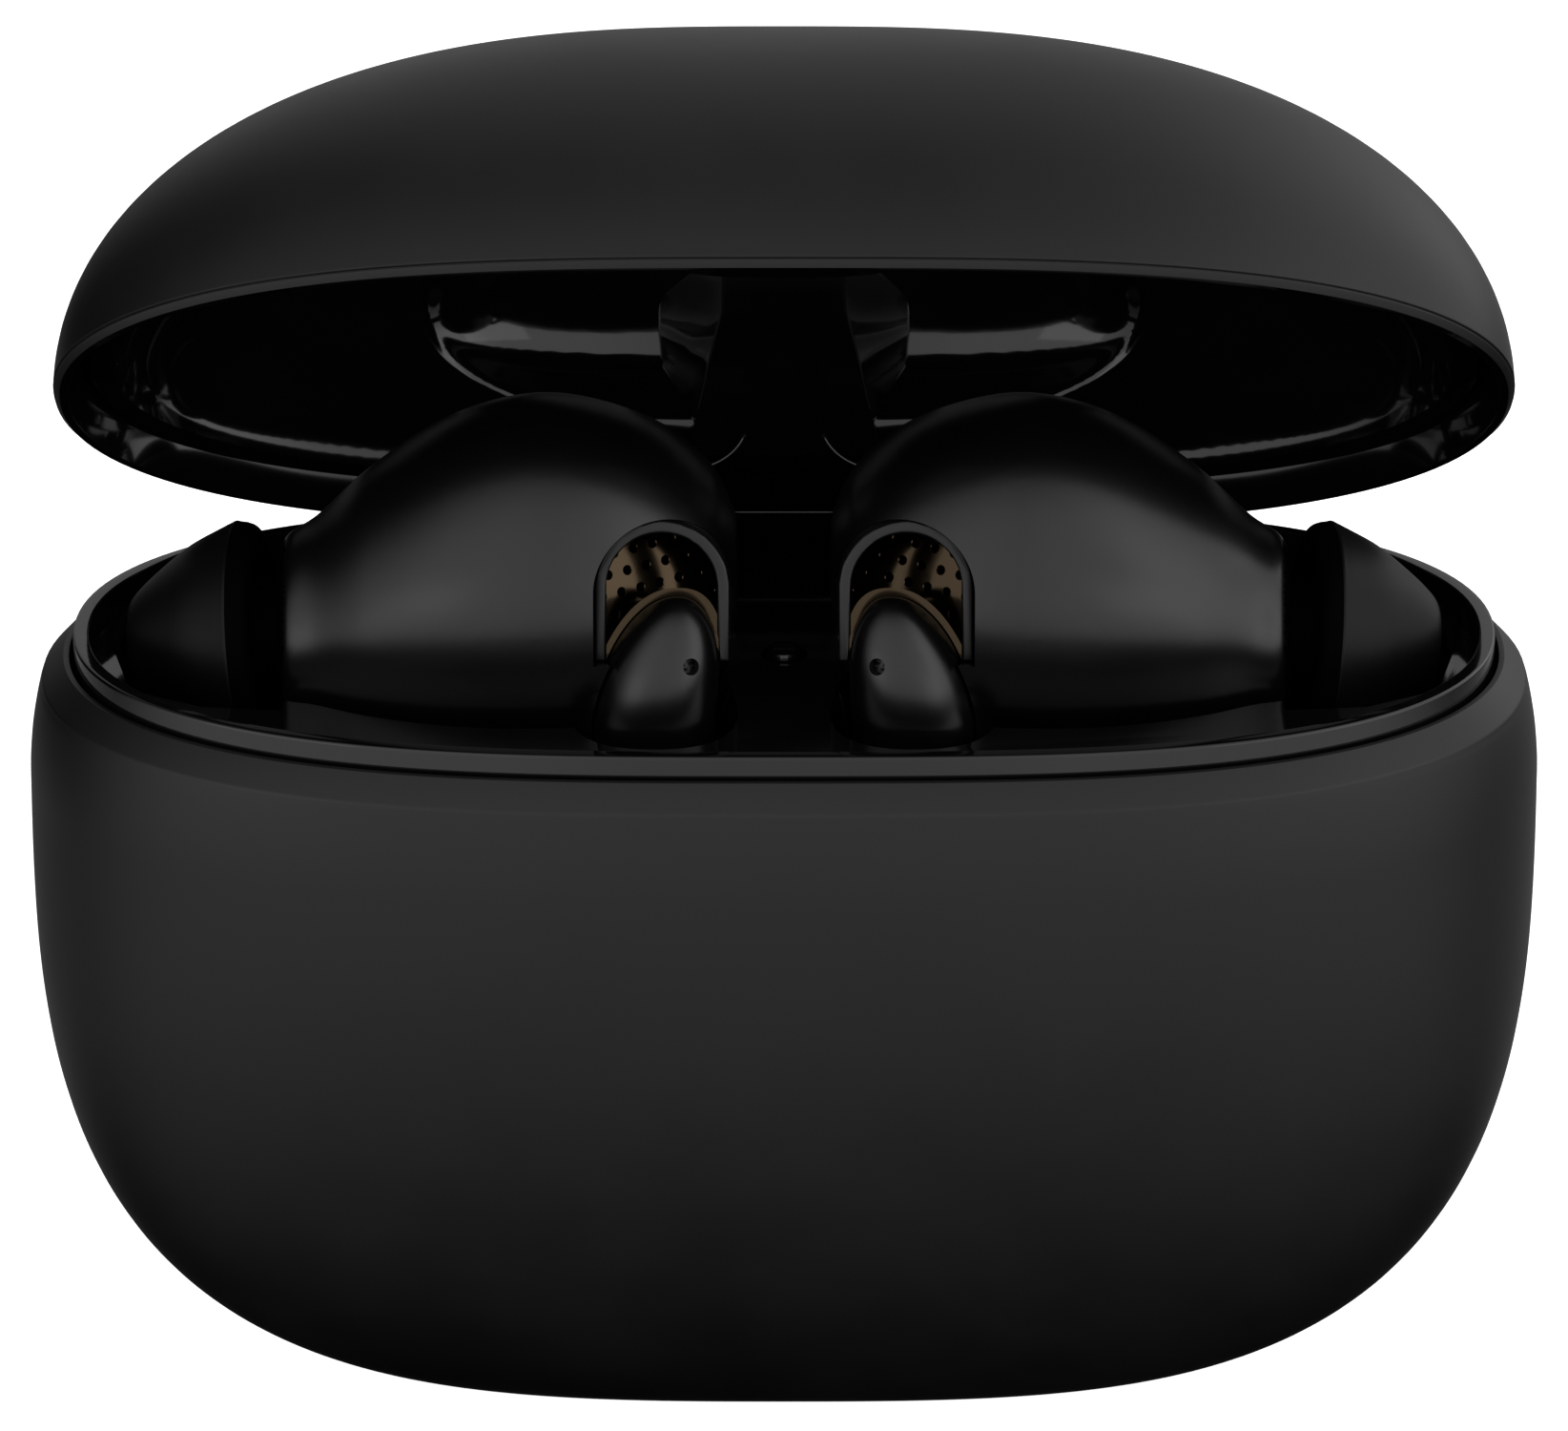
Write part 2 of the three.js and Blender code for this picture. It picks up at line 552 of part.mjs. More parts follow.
// A vertical column with a superellipse section; profile holds [height, size] pairs.
function column(x, y, halfWidth, halfDepth, power, profile, grow, lean = () => 0) {
  const segments = 20;
  return loft(profile.map(([z, size]) => Array.from({ length: segments }, (_, j) => {
    const c = Math.cos((2 * Math.PI * j) / segments);
    const s = Math.sin((2 * Math.PI * j) / segments);
    return new THREE.Vector3(
      x + lean(z) + (halfWidth * size + grow) * Math.sign(c) * Math.abs(c) ** (2 / power),
      y + (halfDepth * size + grow) * Math.sign(s) * Math.abs(s) ** (2 / power),
      z,
    );
  })));
}

function stemLean(z) {
  const rise = Math.max(0, z - STEM_LEAN_START);
  return -STEM_LEAN[0] * rise - STEM_LEAN[1] * rise * rise;
}

// A column with the stem's section.
function stemSection(profile, grow, lean) {
  return column(STEM_X, STEM_Y, STEM_HALF_WIDTH, STEM_HALF_DEPTH, STEM_POWER, profile, grow, lean);
}

// Full stem with a quarter-ellipse dome on top.
function stemColumn(grow, bottom = STEM_BOTTOM) {
  const dome = Array.from({ length: 6 }, (_, i) => {
    const angle = (i / 6) * (Math.PI / 2) + 0.1;
    return [STEM_TOP - STEM_DOME + (STEM_DOME + grow) * Math.sin(angle), Math.cos(angle)];
  });
  return stemSection([[bottom, 1], [STEM_LEAN_START, 1], ...dome], grow, stemLean);
}

// Fairing that carries the housing down around the stem.
function shroud(grow) {
  const profile = [[-3.6 - grow, 0.86], [-2.6, 0.97], [0, 1], [3.2, 0.97]];
  return column(5.95, -3.9, 3.15, 2.45, 3.2, profile, grow);
}

// Moves a shape turned about X onto the nozzle's own axis.
function onNozzle(geometry) {
  geometry.translate(-NOZZLE_X, 0, 0).rotateY(NOZZLE_DIP).rotateZ(NOZZLE_TURN);
  return geometry.translate(NOZZLE_X, NOZZLE_Y, NOZZLE_Z);
}

function nozzleRod(radius, start, end) {
  return onNozzle(turnedAlongX([[0, start], [radius, start], [radius, end], [0, end]]));
}

function tipEnvelope(grow) {
  const profile = [
    [0, 20.6], [5.0 + grow, 20.6], [5.0 + grow, 24.0], [3.6 + grow, 26.4 + grow], [0, 27.8 + grow],
  ];
  return onNozzle(turnedAlongX(profile, 20));
}

// Everything an earbud occupies, grown by a gap, where it sits in the cradle.
function placedEnvelope(side, grow) {
  const column = stemColumn(grow, STEM_BOTTOM - grow);
  const parts = [housingBulb(grow), shroud(grow), column, tipEnvelope(grow + 0.15)];
  return joined(...parts.map((part) => {
    const placed = part.translate(0, 0, BASE_HEIGHT);
    return solid(side > 0 ? placed : mirrored(placed));
  }));
}

// Arch outline, standing in a plane that leans back about the alcove's middle.
function archShape(halfWidth, rise, drop) {
  const shape = new THREE.Shape();
  shape.absarc(0, rise - halfWidth, halfWidth, 0, Math.PI);
  shape.lineTo(-halfWidth, -drop);
  shape.lineTo(halfWidth, -drop);
  return shape;
}

function archPrism(shape, depth, front) {
  const geometry = new THREE.ExtrudeGeometry(shape, { depth, bevelEnabled: false, curveSegments: 10 });
  geometry.rotateX(Math.PI / 2).translate(0, depth + front, 0);
  return geometry.rotateX(-ALCOVE_LEAN).translate(ALCOVE_X, ALCOVE_Y, ALCOVE_Z);
}

function housing() {
  const bulb = joined(solid(housingBulb(0)), solid(shroud(0)));
  const nozzle = nozzleRod(NOZZLE_RADIUS, NOZZLE_START, NOZZLE_END);
  const bore = nozzleRod(NOZZLE_BORE, NOZZLE_START - 2.5, NOZZLE_END + 1);
  const cavity = housingBulb(-0.9);
  const bezelRoom = archPrism(archShape(ARCH_HALF_WIDTH + 0.12, ARCH_RISE + 0.12, ARCH_DROP + 0.12), 3, -1.9);
  const plateRoom = archPrism(archShape(ARCH_HALF_WIDTH - 0.2, ARCH_RISE - 0.2, ARCH_DROP + 0.12), 4.9, 0.5);
  const rooms = [bore, cavity, bezelRoom, plateRoom, stemColumn(STEM_CLEARANCE)];
  return cut(joined(bulb, solid(nozzle)), ...rooms.map(solid));
}

function bezel() {
  const shape = archShape(ARCH_HALF_WIDTH, ARCH_RISE, ARCH_DROP);
  const hole = archShape(ARCH_HALF_WIDTH - ARCH_BAND, ARCH_RISE - ARCH_BAND, 5.2);
  const frame = cut(solid(archPrism(shape, 1.0, -0.15)), solid(archPrism(hole, 3, -1)));
  return cut(frame, solid(stemColumn(STEM_CLEARANCE)));
}

function grille() {
  const outline = archShape(ARCH_HALF_WIDTH - PLATE_MARGIN, ARCH_RISE - PLATE_MARGIN, ARCH_DROP);
  const plate = box(16, PLATE_THICKNESS, 16, 0, 0, 0).rotateX(-ALCOVE_LEAN).rotateZ(-PLATE_TURN);
  plate.translate(ALCOVE_X + 2.3, ALCOVE_Y + 0.9, ALCOVE_Z);
  return cut(solid(plate).intersect(solid(archPrism(outline, 5, 0.3))), solid(stemColumn(STEM_CLEARANCE)));
}

// A short rod square to the stem's surface at the microphone, its middle set back by depth.
function microphoneRod(radius, length, depth) {
  const rod = cylinder(radius, length, "y", 0, depth, 0, 12).rotateZ(-MICROPHONE_TURN);
  return rod.translate(MICROPHONE_X, MICROPHONE_Y, MICROPHONE_Z);
}

function stem() {
  const profile = [
    [STEM_BOTTOM - 1, 1], [STEM_LEAN_START, 1], [STEM_TOP - STEM_DOME, 1], [STEM_TOP - 1.2, 0.62],
  ];
  const inside = stemSection(profile, -STEM_WALL, stemLean);
  const hole = microphoneRod(MICROPHONE_RADIUS, 3, 0);
  return cut(solid(stemColumn(0, STEM_BOTTOM + 0.9)), solid(inside), solid(hole));
}

function stemCap() {
  const disc = stemSection([[STEM_BOTTOM, 0.8], [STEM_BOTTOM + 0.25, 0.94], [STEM_BOTTOM + 0.6, 1]], 0);
  const plug = stemSection([[STEM_BOTTOM + 0.3, 1], [STEM_BOTTOM + 2.2, 1]], -STEM_WALL - 0.3);
  const seats = CONTACT_PLACES.map(([x, y]) => (
    cylinder(CONTACT_RADIUS + 0.2, 0.8, "z", x, y, STEM_BOTTOM, 16)
  ));
  return cut(joined(solid(disc), solid(plug)), ...seats.map(solid));
}

function pinPlaces(side) {
  return CONTACT_PLACES.map(([x, y]) => [side * x, y]);
}

function eartip() {
  const profile = [
    [1.35, 27.45], [1.8, 27.6], [3.2, 26.05], [4.0, 24.9], [4.62, 23.6], [4.9, 22.95], [4.86, 22.7],
    [4.65, 22.2], [4.3, 22.0], [3.8, 22.1], [3.35, 22.15], [2.75, 22.15],
    [2.75, 24.9], [1.7, 25.1], [1.35, 25.5], [1.35, 27.45],
  ];
  return onNozzle(turnedAlongX(profile.toReversed(), 20));
}

function driver() {
  const profile = [[0, 15.0], [2.6, 15.0], [2.6, 15.9], [4.2, 15.9], [4.2, 17.2], [3.4, 17.5], [0, 17.5]];
  return turnedAlongX(profile, 24).translate(0, NOZZLE_Y, DRIVER_Z);
}

// Every piece of one earbud: name, geometry and material.
function earbudPieces() {
  return [
    ["housing", geometryOf(housing()), satinBlack()],
    ["bezel", geometryOf(bezel()), glossBlack()],
    ["grille", geometryOf(grille()), bronze()],
    ["stem", geometryOf(stem()), satinBlack()],
    ["stem_cap", geometryOf(stemCap()), satinBlack()],
    ["microphone_mesh", microphoneRod(MICROPHONE_RADIUS - 0.08, 0.25, 0.6), darkMesh()],
    ["eartip", eartip(), softRubber()],
    ["nozzle_mesh", nozzleRod(NOZZLE_BORE - 0.2, NOZZLE_END - 0.7, NOZZLE_END - 0.4), darkMesh()],
    ["driver", driver(), steel()],
    ["cell", cylinder(CELL_RADIUS, CELL_LENGTH, "x", ...CELL_AT), foilGrey()],
    ["board", cylinder(BUD_BOARD_RADIUS, BUD_BOARD_LENGTH, "x", ...BUD_BOARD_AT), boardGreen()],
    ["antenna_flex", box(...ANTENNA_SIZE, ...ANTENNA_AT), boardGreen()],
    ...CONTACT_PLACES.map(([x, y], i) => {
      const plate = cylinder(CONTACT_RADIUS, CONTACT_HEIGHT, "z", x, y, STEM_BOTTOM + 0.19, 16);
      return [`contact_${i + 1}`, plate, gold()];
    }),
  ];
}

// ---------------------------------------------------------------- assembly

const caseGroup = new THREE.Group();

function add(parent, name, shape, finish) {
  const geometry = shape.isBufferGeometry ? geometryOf(solid(shape)) : geometryOf(shape);
  const mesh = new THREE.Mesh(geometry, finish);
  mesh.name = name;
  parent.add(mesh);
}

add(caseGroup, "base_shell", baseShell(), satinBlack());
add(caseGroup, "cradle_tray", cradleTray(), glossBlack());
add(caseGroup, "case_battery", roundedBox(...BATTERY_SIZE, BATTERY_CORNER, ...BATTERY_AT), foilGrey());
add(caseGroup, "main_board", box(...MAIN_BOARD_SIZE, ...MAIN_BOARD_AT), boardGreen());
add(caseGroup, "charge_chip", box(...CHIP_SIZE, ...CHIP_AT), glossBlack());
add(caseGroup, "socket_shell", usbShell(), steel());
add(caseGroup, "socket_tongue", box(...TONGUE_SIZE, 0, TONGUE_Y, PORT_Z), glossBlack());
add(caseGroup, "button_board", box(...BUTTON_BOARD_SIZE, ...BUTTON_BOARD_AT), boardGreen());
add(caseGroup, "button_switch", box(...SWITCH_SIZE, ...SWITCH_AT), steel());
add(caseGroup, "base_magnet", box(...BASE_MAGNET_SIZE, ...BASE_MAGNET_AT), steel());
add(caseGroup, "hinge_pin", cylinder(HINGE_PIN_RADIUS, HINGE_PIN_LENGTH, "x", 0, HINGE_Y, HINGE_Z), steel());
add(caseGroup, "hinge_spring", hingeSpring(), steel());

function usbShell() {
  const outer = stadiumPrism(SOCKET_WIDTH, SOCKET_HEIGHT, SOCKET_LENGTH, SOCKET_FACE_Y);
  const [width, height] = [SOCKET_WIDTH, SOCKET_HEIGHT].map((size) => size - 2 * SOCKET_WALL);
  const inner = stadiumPrism(width, height, SOCKET_LENGTH, SOCKET_FACE_Y + 0.6);
  return cut(solid(outer), solid(inner));
}

function pairingButton() {
  const profile = [[0, -2.2], [0.35, -2.2], [0.35, -1.6], [1.35, -1.6], [1.35, -1.25], [0.8, -1.25],
    [0.8, 0.12], [0.62, 0.32], [0.3, 0.42], [0, 0.45]];
  return turned(profile).translate(0, BUTTON_Y, DECK_Z);
}

add(caseGroup, "pairing_button", pairingButton(), glossBlack());

for (const [sideName, side] of [["left", -1], ["right", 1]]) {
  const floor = BASE_HEIGHT + STEM_BOTTOM;
  const block = solid(box(...CONTACT_BLOCK_SIZE, side * STEM_X, STEM_Y, floor - CONTACT_BLOCK_DROP));
  const bores = pinPlaces(side).map(([x, y]) => (
    solid(cylinder(PIN_RADIUS + 0.15, 4, "z", x, y, floor - 2.2, 16))
  ));
  add(caseGroup, `${sideName}_contact_block`, cut(block, ...bores), glossBlack());
  pinPlaces(side).forEach(([x, y], i) => {
    const profile = [[0, -3.0], [PIN_RADIUS, -3.0], [PIN_RADIUS, -0.7], [0.3, -0.42], [0, -0.35]];
    add(caseGroup, `${sideName}_spring_pin_${i + 1}`, turned(profile, 16).translate(x, y, floor), gold());
  });
  const magnetAt = [side * BUD_MAGNET_X, NOZZLE_Y, BASE_HEIGHT - BUD_MAGNET_DROP];
  const magnet = cylinder(BUD_MAGNET_RADIUS, BUD_MAGNET_HEIGHT, "z", ...magnetAt);
  add(caseGroup, `${sideName}_bud_magnet`, magnet, steel());
  for (const [name, geometry, finish] of earbudPieces()) {
    const placed = geometry.translate(0, 0, BASE_HEIGHT);
    add(caseGroup, `${sideName}_bud_${name}`, side > 0 ? placed : mirrored(placed), finish);
  }
}

const lid = new THREE.Group();
lid.position.set(0, HINGE_Y, HINGE_Z);
lid.rotation.x = -LID_OPEN_ANGLE;
const lidParts = new THREE.Group();
lidParts.position.set(0, -HINGE_Y, -HINGE_Z);
lid.add(lidParts);
caseGroup.add(lid);

add(lidParts, "lid_shell", lidShell(), satinBlack());
add(lidParts, "lid_liner", lidLiner(), glossBlack());
add(lidParts, "hinge_arm", hingeArm(), glossBlack());
add(lidParts, "lid_magnet", box(...LID_MAGNET_SIZE, ...LID_MAGNET_AT), steel());
SCREW_PLACES.forEach(([x, z], i) => add(lidParts, `hinge_screw_${i + 1}`, screw(x, z), steel()));

export default caseGroup;
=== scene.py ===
"""Looks for the wireless earbuds case: shells, cradle, earbuds, materials, camera and lights.

Front is -Y. Heights are worked out from the ledge that the lid meets. The lid is drawn closed and then swung
open, and each earbud piece is drawn for the right side and mirrored for the left.
"""

import json
import math

import bmesh
import bpy
import numpy as np
from mathutils import Matrix, Vector


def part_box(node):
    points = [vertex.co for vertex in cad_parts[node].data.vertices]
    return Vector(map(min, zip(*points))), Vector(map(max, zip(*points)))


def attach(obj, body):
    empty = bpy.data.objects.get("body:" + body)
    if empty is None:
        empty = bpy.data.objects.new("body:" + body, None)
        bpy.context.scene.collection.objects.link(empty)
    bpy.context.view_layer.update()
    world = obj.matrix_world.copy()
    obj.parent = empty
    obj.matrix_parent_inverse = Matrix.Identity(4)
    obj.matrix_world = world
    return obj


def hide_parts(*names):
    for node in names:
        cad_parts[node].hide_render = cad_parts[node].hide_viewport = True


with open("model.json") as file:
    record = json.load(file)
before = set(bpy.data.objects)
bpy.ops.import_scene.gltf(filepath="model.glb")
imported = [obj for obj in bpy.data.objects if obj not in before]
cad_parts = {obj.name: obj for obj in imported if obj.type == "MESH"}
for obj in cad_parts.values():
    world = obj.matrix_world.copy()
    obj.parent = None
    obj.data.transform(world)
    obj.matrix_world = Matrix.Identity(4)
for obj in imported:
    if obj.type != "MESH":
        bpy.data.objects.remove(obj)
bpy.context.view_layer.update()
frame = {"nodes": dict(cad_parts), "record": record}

MM = 0.001  # shapes are worked out in millimetres and scaled to metres when they are finished

# ---------------------------------------------------------------- sizes, in millimetres


def box_mm(node):
    low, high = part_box(node)
    return np.array(low) / MM, np.array(high) / MM


LEDGE = box_mm("base_shell")[1][2]  # height of the ledge that the closed lid meets
BELLY = np.array(box_mm("base_shell")[1][:2])  # half width and half depth of the base
BELLY_DROP = 5.3  # from the ledge down to the widest ring
BELLY_TO_POLE = 29.4  # from there to where the bowl would close without its flat foot
BASE_WALL = 1.25
BASE_CURVE = (3.09, 2.06)  # powers of the bowl's side view and end view
BASE_FOOT_POWERS = (2.82, 2.81)  # outline powers where the bowl would close
RIM = (31.0, 14.15)  # outline of the lid's rim
RIM_POWERS = (3.1, 2.15)
CHAMFER_DROP = 1.04
CHAMFER_OUTSET = 0.44  # outsets and insets are measured from the rim's outline
LEDGE_INSET = 0.49
MOUTH_INSET = 0.62
LID_CURVE = (2.16, 1.96)  # powers of the lid's side view and end view
LID_TOP_POWER = 3.0
LID_HEIGHT = 16.3
LID_Z = LEDGE + 0.12  # rim of the closed lid
LID_RIM_WALL = 0.65
LID_WALL = 1.1
LINER_OUTER = 1.45  # liner's outer face, inside the lid's outer surface
LINER_WALL = 0.55
LINER_START = 1.45  # height of the liner's lower edge above the rim
LIP_TOP = box_mm("cradle_tray")[1][2]
LIP_INSET = 0.92
LIP_WALL = 0.65
DECK = LEDGE - 0.6
SKIRT_BOTTOM = LEDGE - 7.0
SKIRT_INSET = 1.9
HINGE = sum(box_mm("hinge_pin")) / 2
NOTCH = 3.6  # half width of the hinge's notch
OPEN_ANGLE = math.radians(46.5)
HINGE_BORE = 0.52
SCREWS = [(2.0, LID_Z + 2.7), (-2.0, LID_Z + 2.7)]  # x and z
SCREW_BORE = 0.42
PORT_Z = (box_mm("socket_shell")[0][2] + box_mm("socket_shell")[1][2]) / 2
STEM = (5.45, -5.25)
STEM_HALF = (2.55, 2.75)
STEM_POWER = 2.4
STEM_TOP = 4.6  # heights in an earbud are measured from the ledge
STEM_DOME = 5.0
STEM_BOTTOM = -20.3
STEM_LEAN_START = -0.6
BULB_LOWER_POWER = 2.7  # the lower half of the bulb is fuller than an ellipse
CONTACTS = [(STEM[0], STEM[1] + offset) for offset in (1.2, -1.2)]
ALCOVE = (5.13, -4.9, 3.0)  # middle of the recess above the stem, at the foot of its arch
ALCOVE_LEAN = math.radians(14)
ARCH_HALF_WIDTH = 2.83
ARCH_BAND = 0.5
ARCH_RISE = 4.7
ARCH_DROP = 1.3
PLATE_TURN = math.radians(33)  # towards the middle of the case
PLATE_LEAN = math.radians(20)
PLATE_MARGIN = 0.45  # the bronze plate stays this far inside the arch
MICROPHONE = (3.85, -7.35, 2.45)  # on the stem
MICROPHONE_TURN = math.radians(29)
NOZZLE = (20.6, 0.8, 0.4)  # where the nozzle leaves the housing
NOZZLE_TURN = math.radians(6)  # towards the back
NOZZLE_DIP = math.radians(6)
POCKET_GAP = 0.7
POCKET_WALL = 0.8
BUTTON = (0, 0.8)

AROUND = 224  # points around each ring of the case

# ---------------------------------------------------------------- mesh helpers


def make(name, verts, faces):
    mesh = bpy.data.meshes.new(name)
    mesh.from_pydata([tuple(v) for v in verts], [], faces)
    mesh.validate()
    thing = bpy.data.objects.new(name, mesh)
    bpy.context.scene.collection.objects.link(thing)
    return thing


def loft(name, rings):
    """Skins a stack of closed rings and caps both ends."""
    count = len(rings[0])
    verts = np.concatenate([np.asarray(r, float) for r in rings])
    faces = []
    for i in range(len(rings) - 1):
        for j in range(count):
            a, b = i * count + j, i * count + (j + 1) % count
            faces.append((a, b, b + count, a + count))
    last = (len(rings) - 1) * count
    faces.append(tuple(range(count - 1, -1, -1)))
    faces.append(tuple(range(last, last + count)))
    return make(name, verts, faces)


def turned(name, profile, axis="Z", count=96, at=(0, 0, 0)):
    """Turns (radius, height) pairs about an axis. A profile that isn't closed starts and ends on the axis."""
    profile = [tuple(p) for p in profile]
    closed = profile[0] == profile[-1]
    if closed:
        profile = profile[:-1]
    verts, faces, rows = [], [], []
    for r, h in profile:
        if r == 0:
            rows.append([len(verts)] * count)
            verts.append((0, 0, h))
        else:
            rows.append(list(range(len(verts), len(verts) + count)))
            verts += [(r * math.cos(2 * math.pi * j / count), r * math.sin(2 * math.pi * j / count), h)
                      for j in range(count)]
    pairs = list(zip(rows, rows[1:] + ([rows[0]] if closed else [])))
    for low, high in pairs[:len(rows) if closed else len(rows) - 1]:
        for j in range(count):
            k = (j + 1) % count
            face = []
            for v in (low[j], low[k], high[k], high[j]):
                if v not in face:
                    face.append(v)
            if len(face) > 2:
                faces.append(tuple(face))
    turn = {"Z": Matrix.Identity(4), "X": Matrix.Rotation(math.pi / 2, 4, "Y"),
            "Y": Matrix.Rotation(-math.pi / 2, 4, "X")}[axis]
    thing = make(name, verts, faces)
    thing.data.transform(Matrix.Translation(Vector(at)) @ turn)
    outward(thing)
    return thing


def two_materials(thing, second, is_second):
    """Gives the second material to the faces whose centre is_second picks out."""
    thing.data.materials.append(second)  # finished() puts the first material in this place
    thing.data.materials.append(second)
    thing.data.polygons.foreach_set("material_index", [int(is_second(face)) for face in thing.data.polygons])


def outward(thing):
    """Makes a closed mesh's faces point outwards."""
    work = bmesh.new()
    work.from_mesh(thing.data)
    bmesh.ops.recalc_face_normals(work, faces=work.faces)
    if work.calc_volume(signed=True) < 0:
        bmesh.ops.reverse_faces(work, faces=work.faces)
    work.to_mesh(thing.data)
    work.free()


def combine(target, tools, operation):
    """Joins, cuts or intersects target with each of the tools, which are used up."""
    for tool in tools:
        change = target.modifiers.new("combine", "BOOLEAN")
        change.operation = operation
        change.object = tool
        change.solver = "MANIFOLD"
        apply_modifiers(target)
        bpy.data.objects.remove(tool)
    return target


def apply_modifiers(thing):
    bpy.context.view_layer.update()
    graph = bpy.context.evaluated_depsgraph_get()
    mesh = bpy.data.meshes.new_from_object(thing.evaluated_get(graph))
    thing.modifiers.clear()
    thing.data = mesh


def remeshed(thing, voxel, smoothing):
    """Blends a union of shapes into one skin of even faces."""
    change = thing.modifiers.new("skin", "REMESH")
    change.mode = "VOXEL"
    change.voxel_size = voxel
    relax = thing.modifiers.new("relax", "SMOOTH")
    relax.iterations = smoothing
    relax.factor = 0.5
    apply_modifiers(thing)
    return thing


def softened(thing, width, angle):
    """Rounds the edges that turn by more than the angle, in degrees."""
    soften = thing.modifiers.new("soften", "BEVEL")
    soften.width, soften.segments, soften.limit_method = width, 3, "ANGLE"
    soften.angle_limit = math.radians(angle)
    apply_modifiers(thing)
    return thing


def superellipse(a, b, px, py, count=AROUND):
    """Evenly spaced points of |x/a|^px + |y/b|^py = 1, with their outward normals."""
    angle = np.linspace(0, 2 * np.pi, 2881)
    c, s = np.cos(angle), np.sin(angle)
    x = a * np.sign(c) * np.abs(c) ** (2 / px)
    y = b * np.sign(s) * np.abs(s) ** (2 / py)
    run = np.concatenate([[0], np.cumsum(np.hypot(np.diff(x), np.diff(y)))])
    at = np.arange(count) / count * run[-1]
    x, y = np.interp(at, run, x), np.interp(at, run, y)
    nx = px / a * np.sign(x) * np.abs(x / a) ** (px - 1)
    ny = py / b * np.sign(y) * np.abs(y / b) ** (py - 1)
    size = np.hypot(nx, ny)
    return np.stack([x, y], 1), np.stack([nx / size, ny / size], 1)


def level(points, z):
    return np.column_stack([points, np.full(len(points), z)])


RIM_POINTS, RIM_NORMALS = superellipse(*RIM, *RIM_POWERS)


def rim_ring(z, inset):
    return level(RIM_POINTS - RIM_NORMALS * inset, z)


def fillet(profile, radii, steps=5):
    """Rounds the corners of an open run of (inset, z) pairs, each with its own radius."""
    out = [profile[0]]
    for before, corner, after, radius in zip(profile, profile[1:], profile[2:], radii):
        p, c, n = (np.array(v, float) for v in (before, corner, after))
        u, v = (p - c) / np.linalg.norm(p - c), (n - c) / np.linalg.norm(n - c)
        half = math.acos(np.clip(u @ v, -1, 1)) / 2
        reach = min(radius / math.tan(half), 0.45 * np.linalg.norm(p - c), 0.45 * np.linalg.norm(n - c))
        if radius == 0:
            out.append(tuple(corner))
            continue
        for k in range(steps + 1):
            t = k / steps
            out.append(tuple((1 - t) ** 2 * (c + u * reach) + 2 * t * (1 - t) * c + t ** 2 * (c + v * reach)))
    out.append(profile[-1])
    return out


def finished(thing, name, body, slot, material, *nodes, sharp=35, open_lid=False):
    """Scales a shape to metres, smooths it, gives it its material, ties it to its body, and hides the CAD
    nodes it replaces.
    """
    mesh = thing.data
    move = Matrix.Scale(MM, 4)
    if open_lid:
        hinge = Vector(HINGE)
        swing = Matrix.Rotation(-OPEN_ANGLE, 4, "X")
        move = move @ Matrix.Translation(hinge) @ swing @ Matrix.Translation(-hinge)
    mesh.transform(move)
    mesh.shade_smooth()
    mesh.set_sharp_from_angle(angle=math.radians(sharp))
    if mesh.materials:
        mesh.materials[0] = material
    else:
        mesh.materials.append(material)
    thing.name = mesh.name = name
    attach(thing, body)
    if nodes:
        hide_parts(*nodes)
    return thing


def reflected(thing):
    """A copy mirrored to the other side of the case."""
    twin = thing.copy()
    twin.data = thing.data.copy()
    bpy.context.scene.collection.objects.link(twin)
    twin.data.transform(Matrix.Scale(-1, 4, (1, 0, 0)))
    twin.data.flip_normals()
    return twin


def block(width, depth, height, x, y, z):
    w, d, h = width / 2, depth / 2, height / 2
    corners = [(-w, -d), (w, -d), (w, d), (-w, d)]
    return loft("block", [[(x + u, y + v, z + s * h) for u, v in corners] for s in (-1, 1)])


def rod(radius, length, axis, x, y, z, count=64):
    return turned("rod", [(0, -length / 2), (radius, -length / 2), (radius, length / 2), (0, length / 2)],
                  axis, count, (x, y, z))


def closing(t, power):
    """How far out a superellipse is, from 1 to 0, as its height t goes from 0 to 1."""
    return (1 - t ** power) ** (1 / power)


# ---------------------------------------------------------------- materials


def shader(name):
    material = bpy.data.materials.new(name)
    material.use_nodes = True
    tree = material.node_tree
    return material, tree, tree.nodes["Principled BSDF"]


def node(tree, kind, values=(), **settings):
    made = tree.nodes.new("ShaderNode" + kind)
    for key, value in settings.items():
        setattr(made, key, value)
    for key, value in dict(values).items():
        made.inputs[key].default_value = value
    return made


def noise(tree, scale, detail=3.0, roughness=0.55, stretch=(1, 1, 1)):
    place = node(tree, "TexCoord")
    mapping = node(tree, "Mapping", {"Scale": stretch})
    texture = node(tree, "TexNoise", {"Scale": scale, "Detail": detail, "Roughness": roughness})
    tree.links.new(place.outputs["Object"], mapping.inputs["Vector"])
    tree.links.new(mapping.outputs["Vector"], texture.inputs["Vector"])
    return texture.outputs["Fac"]


def spread(tree, value, low, high):
    """Maps the useful part of a noise, 0.3 to 0.7, onto low to high."""
    ramp = node(tree, "MapRange", {"From Min": 0.3, "From Max": 0.7, "To Min": low, "To Max": high})
    tree.links.new(value, ramp.inputs["Value"])
    return ramp.outputs["Result"]


def tinted(tree, value, dark, light):
    mix = node(tree, "Mix", data_type="RGBA")
    mix.inputs["A"].default_value = (*dark, 1)
    mix.inputs["B"].default_value = (*light, 1)
    tree.links.new(spread(tree, value, 0, 1), mix.inputs["Factor"])
    return mix.outputs["Result"]


